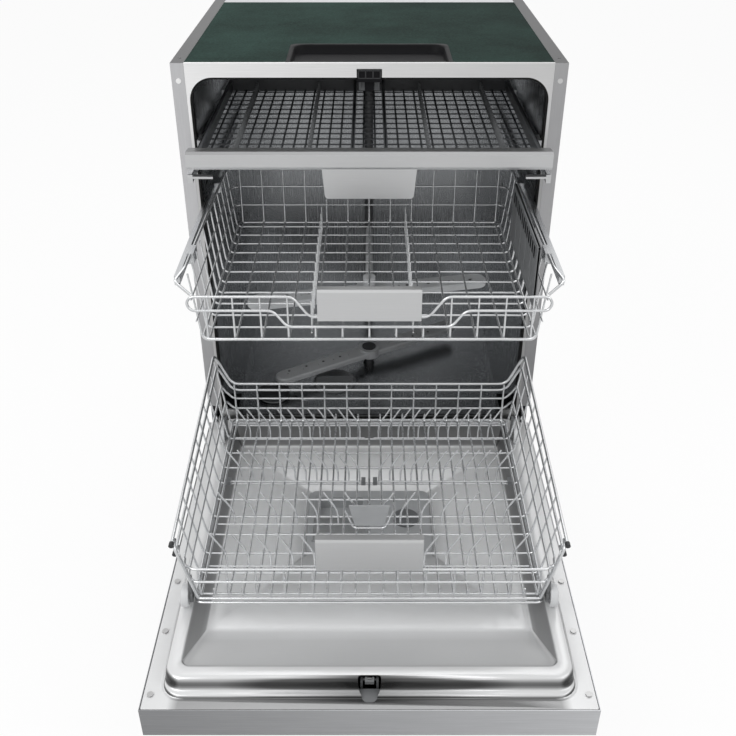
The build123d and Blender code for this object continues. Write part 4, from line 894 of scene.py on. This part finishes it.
# %% Upper tray
TRAY_HALF, TRAY_FRONT, TRAY_REAR, TRAY_LOW, TRAY_HIGH = 256, -79.6, 319, 690, 716
TRAY_FLOOR, CHANNEL_TOP = TRAY_LOW + 2, TRAY_HIGH - 4
LATTICE_X, LATTICE_Y, BAR, COMB_PITCH = 18.5, 26.5, 3.0, 13
tray_walls = (
    (TRAY_HALF - 2, TRAY_HALF, TRAY_LOW, TRAY_HIGH), (TRAY_HALF - 6, TRAY_HALF, TRAY_HIGH - 2, TRAY_HIGH),
    (24, 26, TRAY_FLOOR, CHANNEL_TOP), (22, 28, CHANNEL_TOP - 1.5, CHANNEL_TOP),
)
tray_rows = []
for y in (TRAY_FRONT, TRAY_REAR - 2):
    tray_rows.append((-TRAY_HALF, TRAY_HALF, y, y + 2, TRAY_LOW, TRAY_HIGH))
for low, high, bottom, top in tray_walls:
    tray_rows += bar_pair(low, high, TRAY_FRONT + 2, TRAY_REAR - 2, bottom, top)
for x in spaced(-TRAY_HALF + 9, TRAY_HALF - 9, LATTICE_X):
    tray_rows.append((x - BAR / 2, x + BAR / 2, TRAY_FRONT + 2, TRAY_REAR - 2, TRAY_LOW, TRAY_FLOOR))
reach, bottom, top = TRAY_HALF - 2, TRAY_LOW + 0.1, TRAY_FLOOR - 0.1
for y in spaced(TRAY_FRONT + 12, TRAY_REAR - 12, LATTICE_Y):
    tray_rows.append((-reach, reach, y - BAR / 2, y + BAR / 2, bottom, top))
bars("tray_lattice", tray_rows, "tray_grey", "cutlery_tray", ("tray_basket",), 0.3)

comb_rows = []
for x in (92, 206):
    comb_rows += bar_pair(x - 2, x + 2, TRAY_FRONT + 8, TRAY_REAR - 8, TRAY_FLOOR, TRAY_FLOOR + 3)
    for y in spaced(TRAY_FRONT + 12, TRAY_REAR - 12, COMB_PITCH):
        comb_rows += bar_pair(x - 2, x + 2, y - 1.2, y + 1.2, TRAY_FLOOR + 2.5, TRAY_FLOOR + 17)
bars("tray_combs", comb_rows, "clip_grey", "cutlery_tray", (), 0.4)

# %% [markdown]
# A shelf is hinged at the middle rack's right side, and here it is folded up. It is a plate of grey plastic
# with a thick rim and ribs, and a row of slots runs along its upper edge.

# %% Folding shelf
SHELF_IN, SHELF_OUT, SHELF_FRONT, SHELF_REAR, SHELF_LOW, SHELF_HIGH = 229, 234, -259, -21, 549, 639
shelf_rows = [
    (SHELF_IN + 1, SHELF_OUT, SHELF_FRONT, SHELF_REAR, SHELF_LOW, SHELF_HIGH),
    (SHELF_IN, SHELF_OUT + 1, SHELF_FRONT, SHELF_REAR, SHELF_HIGH - 6, SHELF_HIGH),
    (SHELF_IN, SHELF_OUT + 1, SHELF_FRONT, SHELF_REAR, SHELF_LOW, SHELF_LOW + 3),
]
for y in spaced(SHELF_FRONT + 1.5, SHELF_REAR - 1.5, 47):
    shelf_rows.append((SHELF_IN + 0.4, SHELF_OUT + 0.6, y - 1.5, y + 1.5, SHELF_LOW + 2, SHELF_HIGH - 5))
bars("cup_shelf_plate", shelf_rows, "clip_grey", "cup_shelf", ("cup_shelf",), 0.8)
slot_rows = []
for y in spaced(SHELF_FRONT + 24, SHELF_REAR - 16, 16):
    slot_rows.append((SHELF_IN + 0.5, SHELF_OUT + 0.5, y - 4.2, y + 4.2, 613, 630))
bars("cup_shelf_slots", slot_rows, "black_plastic", "cup_shelf", (), 0.3)

# %% [markdown]
# The tray sunk in the top is deep-drawn, so its rear corners are round and its rim lies flat on the cover.
# It is drawn as a row of U-shaped lines from the rim down to its floor. A rounded bar closes it towards the
# frame.

# %% Tray in the top
U_FRONT = 6.0


def u_line(half, rear, corner, z):
    """A level line from the front round two rear corners and back to the front."""
    right = [(half, U_FRONT, z)]
    for i in range(ARC_STEPS + 1):
        angle = math.radians(90 * i / ARC_STEPS)
        right.append((half - corner + corner * math.cos(angle), rear - corner + corner * math.sin(angle), z))
    return across(right)


# Each row is half the width, the rear edge, the radius of the corners, and the height.
drawn = [
    (126.0, 122.0, 12, 819.4), (126.0, 122.0, 12, 820.3), (121.5, 118.0, 20, 820.3),
    (120.0, 116.6, 20, 819.6), (119.3, 116.0, 20, 818.0), (118.0, 114.6, 20, 809.5),
    (117.2, 113.6, 20, 808.0), (115.2, 111.6, 19, 807.2), (60.0, 60.0, 9, 807.0),
]
lines = [u_line(*row) for row in drawn]
corners, faces = joined_loops(lines, closed=False)
faces.append(tuple(range(len(corners) - len(lines[-1]), len(corners))))
mesh_piece("top_tray_skin", corners, faces, "black_plastic", "cabinet", ("top_recess",))
bar = [(7.5, 807.2), (7.5, 816.5), (10.5, 818.6), (17.5, 818.6), (21.5, 816), (23.5, 811), (23.5, 807.2)]
pushed("top_tray_bar", bar, 117, "black_plastic", "cabinet", soft=1.6)

# %% [markdown]
# Rack wheels are white nylon: a broad rim, a thin web and a hub. A wheel is a side view turned about its
# axle, so one ring of points for each step of the profile is enough.

# %% Wheels
INNER, OUTER = 253.1, 264.5
WHEEL_STEPS, AXLE_HEIGHT = 40, 205.3
# Each row is a distance from the machine's middle and a radius.
profile = [
    (OUTER - 0.4, 3.0), (OUTER, 5.0), (OUTER - 0.6, 7.2), (OUTER - 3.4, 8.2), (OUTER - 3.6, 12.0),
    (OUTER - 0.8, 12.8), (OUTER, 14.6), (OUTER - 0.9, 16.2), (OUTER - 2.2, 16.8), (INNER + 2.2, 16.8),
    (INNER + 0.9, 16.2), (INNER, 14.6), (INNER + 0.8, 12.8), (INNER + 3.0, 12.0), (INNER + 3.0, 8.0),
    (INNER, 7.0), (INNER, 3.0),
]


def wheels(name, y, body):
    """Both wheels of one axle at y."""
    corners, faces = [], []
    for side in (-1, 1):
        rings = []
        for i in range(WHEEL_STEPS):
            turn = 2 * math.pi * i / WHEEL_STEPS
            ahead, up = math.cos(turn), math.sin(turn)
            rings.append([(side * x, y + r * ahead, AXLE_HEIGHT + r * up) for x, r in profile])
        ring_corners, ring_faces = joined_loops(rings, ring=True)
        first = len(corners)
        corners += ring_corners
        faces += [[first + corner for corner in face] for face in ring_faces]
    pair = mesh_piece(name, corners, faces, "light_plastic", body, (body,), finish="white_nylon")
    face_outwards(pair.data)


wheels("front_wheel_pair", -480.7, "front_wheels")
wheels("rear_wheel_pair", -100.0, "rear_wheels")

# %% [markdown]
# A holder stands in the middle of the lower rack behind its grip, and small screw caps and slots break up
# the plain front of the cabinet.

# %% Holder, caps and slots
holder = [(-22, 213), (22, 213), (31, 252), (-31, 252)]
near, far = ([(x, y, z) for x, z in holder] for y in (-346, -343))
solid_piece("centre_holder", near, far, "light_plastic", "lower_rack")
holder_wire = across([(37, -347.5, 246), (24, -347.5, 210)])
wire_piece("centre_holder_wires", [run(holder_wire, 1.8, 6)], "rack_wire", "lower_rack")
marks = [(-291, -274, -0.5, 0.4, 667, 669.4), (279, 287, -0.5, 0.4, 654, 661)]
bars("front_marks", marks, "frame_steel", "cabinet", (), 0.2)
cap_runs = both_sides([(288.5, 0.5, 793.5), (288.5, -0.9, 793.5)], 4.2)
wire_piece("trim_screw_caps", cap_runs, "frame_steel", "cabinet")

# %% [markdown]
# The tray's runners end in front in a flat stop of bright sheet, which is screwed to the runner's end and
# reaches inwards under the tray's front. A dark strip lies on top of it.

# %% Stops of the tray's runners
stop_rows = bar_pair(232, 269.5, -103.4, -100.6, 677.2, 680.8)
stop_rows += bar_pair(262, 269.5, -103.2, -100.8, 670.5, 683.6)
stop_rows += bar_pair(263.5, 266.5, -101, -96, 674.5, 680)
bars("runner_stops", stop_rows, "grip_grey", "cutlery_tray")
bars("runner_stop_dark_strips", bar_pair(232, 261, -103, -100.8, 681.2, 684), "dark_plastic", "cutlery_tray")

# %% [markdown]
# Spray arms have a row of nozzles on each wing. The far ends of an arm's own mesh give its direction, so
# the nozzles follow it whatever angle it was packed at.

# %% Nozzles
NOZZLE_PLACES, NOZZLE_RADIUS, CLEAR_OF_HUB = (0.32, 0.50, 0.68, 0.86), 2.8, 0.1


def nozzles(arm):
    """Nozzles on both wings: each place is a share of the way from the hub to the wing's end."""
    spots = [corner.co for corner in nodes[arm].data.vertices]
    ends = min(spots, key=lambda spot: spot.x), max(spots, key=lambda spot: spot.x)
    hub = (ends[0] + ends[1]) / 2
    top = max(spot.z for spot in spots if (spot - hub).xy.length > CLEAR_OF_HUB) / MM
    rows = []
    for end in ends:
        for part in NOZZLE_PLACES:
            x, y = (hub.lerp(end, part) / MM).xy
            rows.append(run([(x, y, top - 1), (x, y, top + 0.4)], NOZZLE_RADIUS))
    wire_piece(arm + "_nozzles", rows, "dark_plastic", arm)


nozzles("lower_spray_arm")
nozzles("middle_spray_arm")

# %% [markdown]
# The door's small parts: the dispenser's lid gets a ridge to push and its cap a bar to turn, and the latch
# a hook and the pocket in which it moves. The catch and the control unit are greyer than the slot of the
# record says, so only their finish is changed. A dark window lies in the door's face.

# %% Details of the door
bars("lid_ridge", [(-62, -36, -312, -307, 157, 159.5)], "grip_grey", "detergent_lid", (), 0.8)
bars("cap_bar", [(50, 70, -263, -259, 158, 160.4)], "clip_grey", "rinse_cap", (), 0.8)
bars("latch_hook", [(-3.0, 3.0, -606, -599, 180, 183.5)], "screw_steel", "latch_catch")
for name in ("latch_catch", "control_unit"):
    nodes[name].data.materials[0] = finishes["clip_grey"]
bars("latch_pocket", [(-14, 14, -631, -609, 165.2, 166.6)], "clip_grey", "door", (), 0.3)
bars("display_window", [(-72, 72, -628, -612, 117.5, 118.4)], "black_plastic", "door", (), 0.3)

# %% [markdown]
# The outside of a built-in machine is plain, but its sheets are still pressed and screwed. Shallow beads
# stiffen the sides and the rear, and a row of screws holds the rear sheet. Each bead starts from the
# sheet's own outer face, which is measured, and stands out by less than a millimetre.

# %% Beads and rear screws
BEAD_RADIUS, BEAD_DEPTH = 2.3, 1.6
side_face = max(corner.co.x for corner in nodes["side_panels"].data.vertices) / MM
rear_face = max(corner.co.y for corner in nodes["rear_panel"].data.vertices if corner.co.z < 0.78) / MM
side_x, rear_y = side_face - BEAD_DEPTH, rear_face - BEAD_DEPTH
side_beads = []
for y in (130, 390):
    side_beads += both_sides([(side_x, y, 150), (side_x, y, 690)], BEAD_RADIUS)
wire_piece("side_beads", side_beads, slot_of["side_panels"], "cabinet")
rear_beads = [run([(-200, rear_y, z), (200, rear_y, z)], BEAD_RADIUS) for z in (250, 420, 590, 740)]
wire_piece("rear_beads", rear_beads, slot_of["rear_panel"], "cabinet")
rear_screws = []
for z in (140, 360, 580, 770):
    rear_screws += both_sides([(268, rear_face - 1, z), (268, rear_face + 0.9, z)], 3.4)
wire_piece("rear_screws", rear_screws, "screw_steel", "cabinet")
print("side face", round(side_face, 1), "rear face", round(rear_face, 1))

# %% [markdown]
# The catch in the middle of the frame is a black moulding with three pockets, and a bracket hangs behind it
# from the tub's ceiling, far enough back to stay clear of the closed door.

# %% Catch and bracket
ribs = [(-17.5, 17.5, -2.4, -1.5, z, z + 1.6) for z in (797.0, 808.4)]
ribs += [(x - 0.9, x + 0.9, -2.4, -1.5, 797.5, 809.5) for x in (-16.6, -5.6, 5.6, 16.6)]
bars("catch_ribs", ribs, "dark_plastic", "cabinet", (), 0.2)
bracket = [(-16, 16, 22, 25, 773, 802.5), (-16, -13, 19.5, 22, 776, 802), (8, 12, 19.8, 22, 774, 796)]
bars("ceiling_bracket", bracket, "clip_grey", "cabinet")

# %% [markdown]
# A plain pale floor takes the soft shadow of the machine. It is a large plane, so the camera sees nothing
# beyond it, and where the camera sees it, it mostly glows, which keeps it pale without more light on the
# machine.

# %% Floor
FLOOR_REACH, FLOOR_GLOW = 20, 0.92
floor_corners = [(x * FLOOR_REACH, y * FLOOR_REACH, 0) for x, y in ((-1, -1), (1, -1), (1, 1), (-1, 1))]
floor_data = bpy.data.meshes.new("floor")
floor_data.from_pydata(floor_corners, [], [(0, 1, 2, 3)])
floor = bpy.data.objects.new("floor", floor_data)
floor.location.z = -0.0005
scene.collection.objects.link(floor)
pale, graph, shader = new_material("pale_floor")
shader.inputs["Base Color"].default_value = (0.93, 0.93, 0.93, 1)
shader.inputs["Roughness"].default_value = 0.95
shader.inputs["Specular IOR Level"].default_value = 0.0
glow = place(graph, "ShaderNodeEmission", Color=(1, 1, 1, 1), Strength=1.0)
path = graph.nodes.new("ShaderNodeLightPath")
blend = graph.nodes.new("ShaderNodeMixShader")
share = combined(graph, "MULTIPLY", path.outputs["Is Camera Ray"], FLOOR_GLOW)
for socket, value in zip(blend.inputs, (share, shader.outputs[0], glow.outputs[0])):
    graph.links.new(value, socket)
graph.links.new(blend.outputs[0], graph.nodes["Material Output"].inputs["Surface"])
floor_data.materials.append(pale)
print("floor", 2 * FLOOR_REACH, "m wide")

# %% [markdown]
# The world is an even light from all sides. What the camera, a reflection or a clear material sees of it
# is plain white, and what it sheds on the machine is weaker, so that pale surfaces don't turn to plain
# white.

# %% World
WORLD_LIGHT = 0.55
world = bpy.data.worlds.new("studio")
scene.world = world
world.use_nodes = True
sky = world.node_tree
sky.nodes.clear()
seen = place(sky, "ShaderNodeBackground", Color=(1, 1, 1, 1), Strength=1.0)
light = place(sky, "ShaderNodeBackground", Color=(1, 1, 1, 1), Strength=WORLD_LIGHT)
ray = sky.nodes.new("ShaderNodeLightPath")
direct = combined(sky, "MAXIMUM", ray.outputs["Is Camera Ray"], ray.outputs["Is Glossy Ray"])
choose = sky.nodes.new("ShaderNodeMixShader")
share = combined(sky, "MAXIMUM", direct, ray.outputs["Is Transmission Ray"])
for socket, value in zip(choose.inputs, (share, light.outputs[0], seen.outputs[0])):
    sky.links.new(value, socket)
out = sky.nodes.new("ShaderNodeOutputWorld")
sky.links.new(choose.outputs[0], out.inputs["Surface"])
print("world light", WORLD_LIGHT)

# %% [markdown]
# Three large soft lamps light the machine as in a studio: the main one from the left and above, a weaker
# one from the right, and one high over the rear that draws the edges of the top.

# %% Lamps
LAMP_SIZE, AIM = 1.8, Vector((0, -0.15, 0.4))
LAMPS = (
    ("main_lamp", (-1.7, -1.7, 2.5), 34),
    ("side_lamp", (1.9, -1.2, 1.9), 14),
    ("rear_lamp", (0.2, 1.2, 2.6), 14),
)
for name, spot, power in LAMPS:
    lamp_data = bpy.data.lights.new(name, "AREA")
    lamp_data.size = LAMP_SIZE
    lamp_data.energy = power
    lamp = bpy.data.objects.new(name, lamp_data)
    lamp.location = spot
    lamp.rotation_euler = (AIM - Vector(spot)).to_track_quat("-Z", "Y").to_euler()
    scene.collection.objects.link(lamp)
print("lamps", len(LAMPS))

# %% Finish
scene.view_settings.view_transform = "Standard"
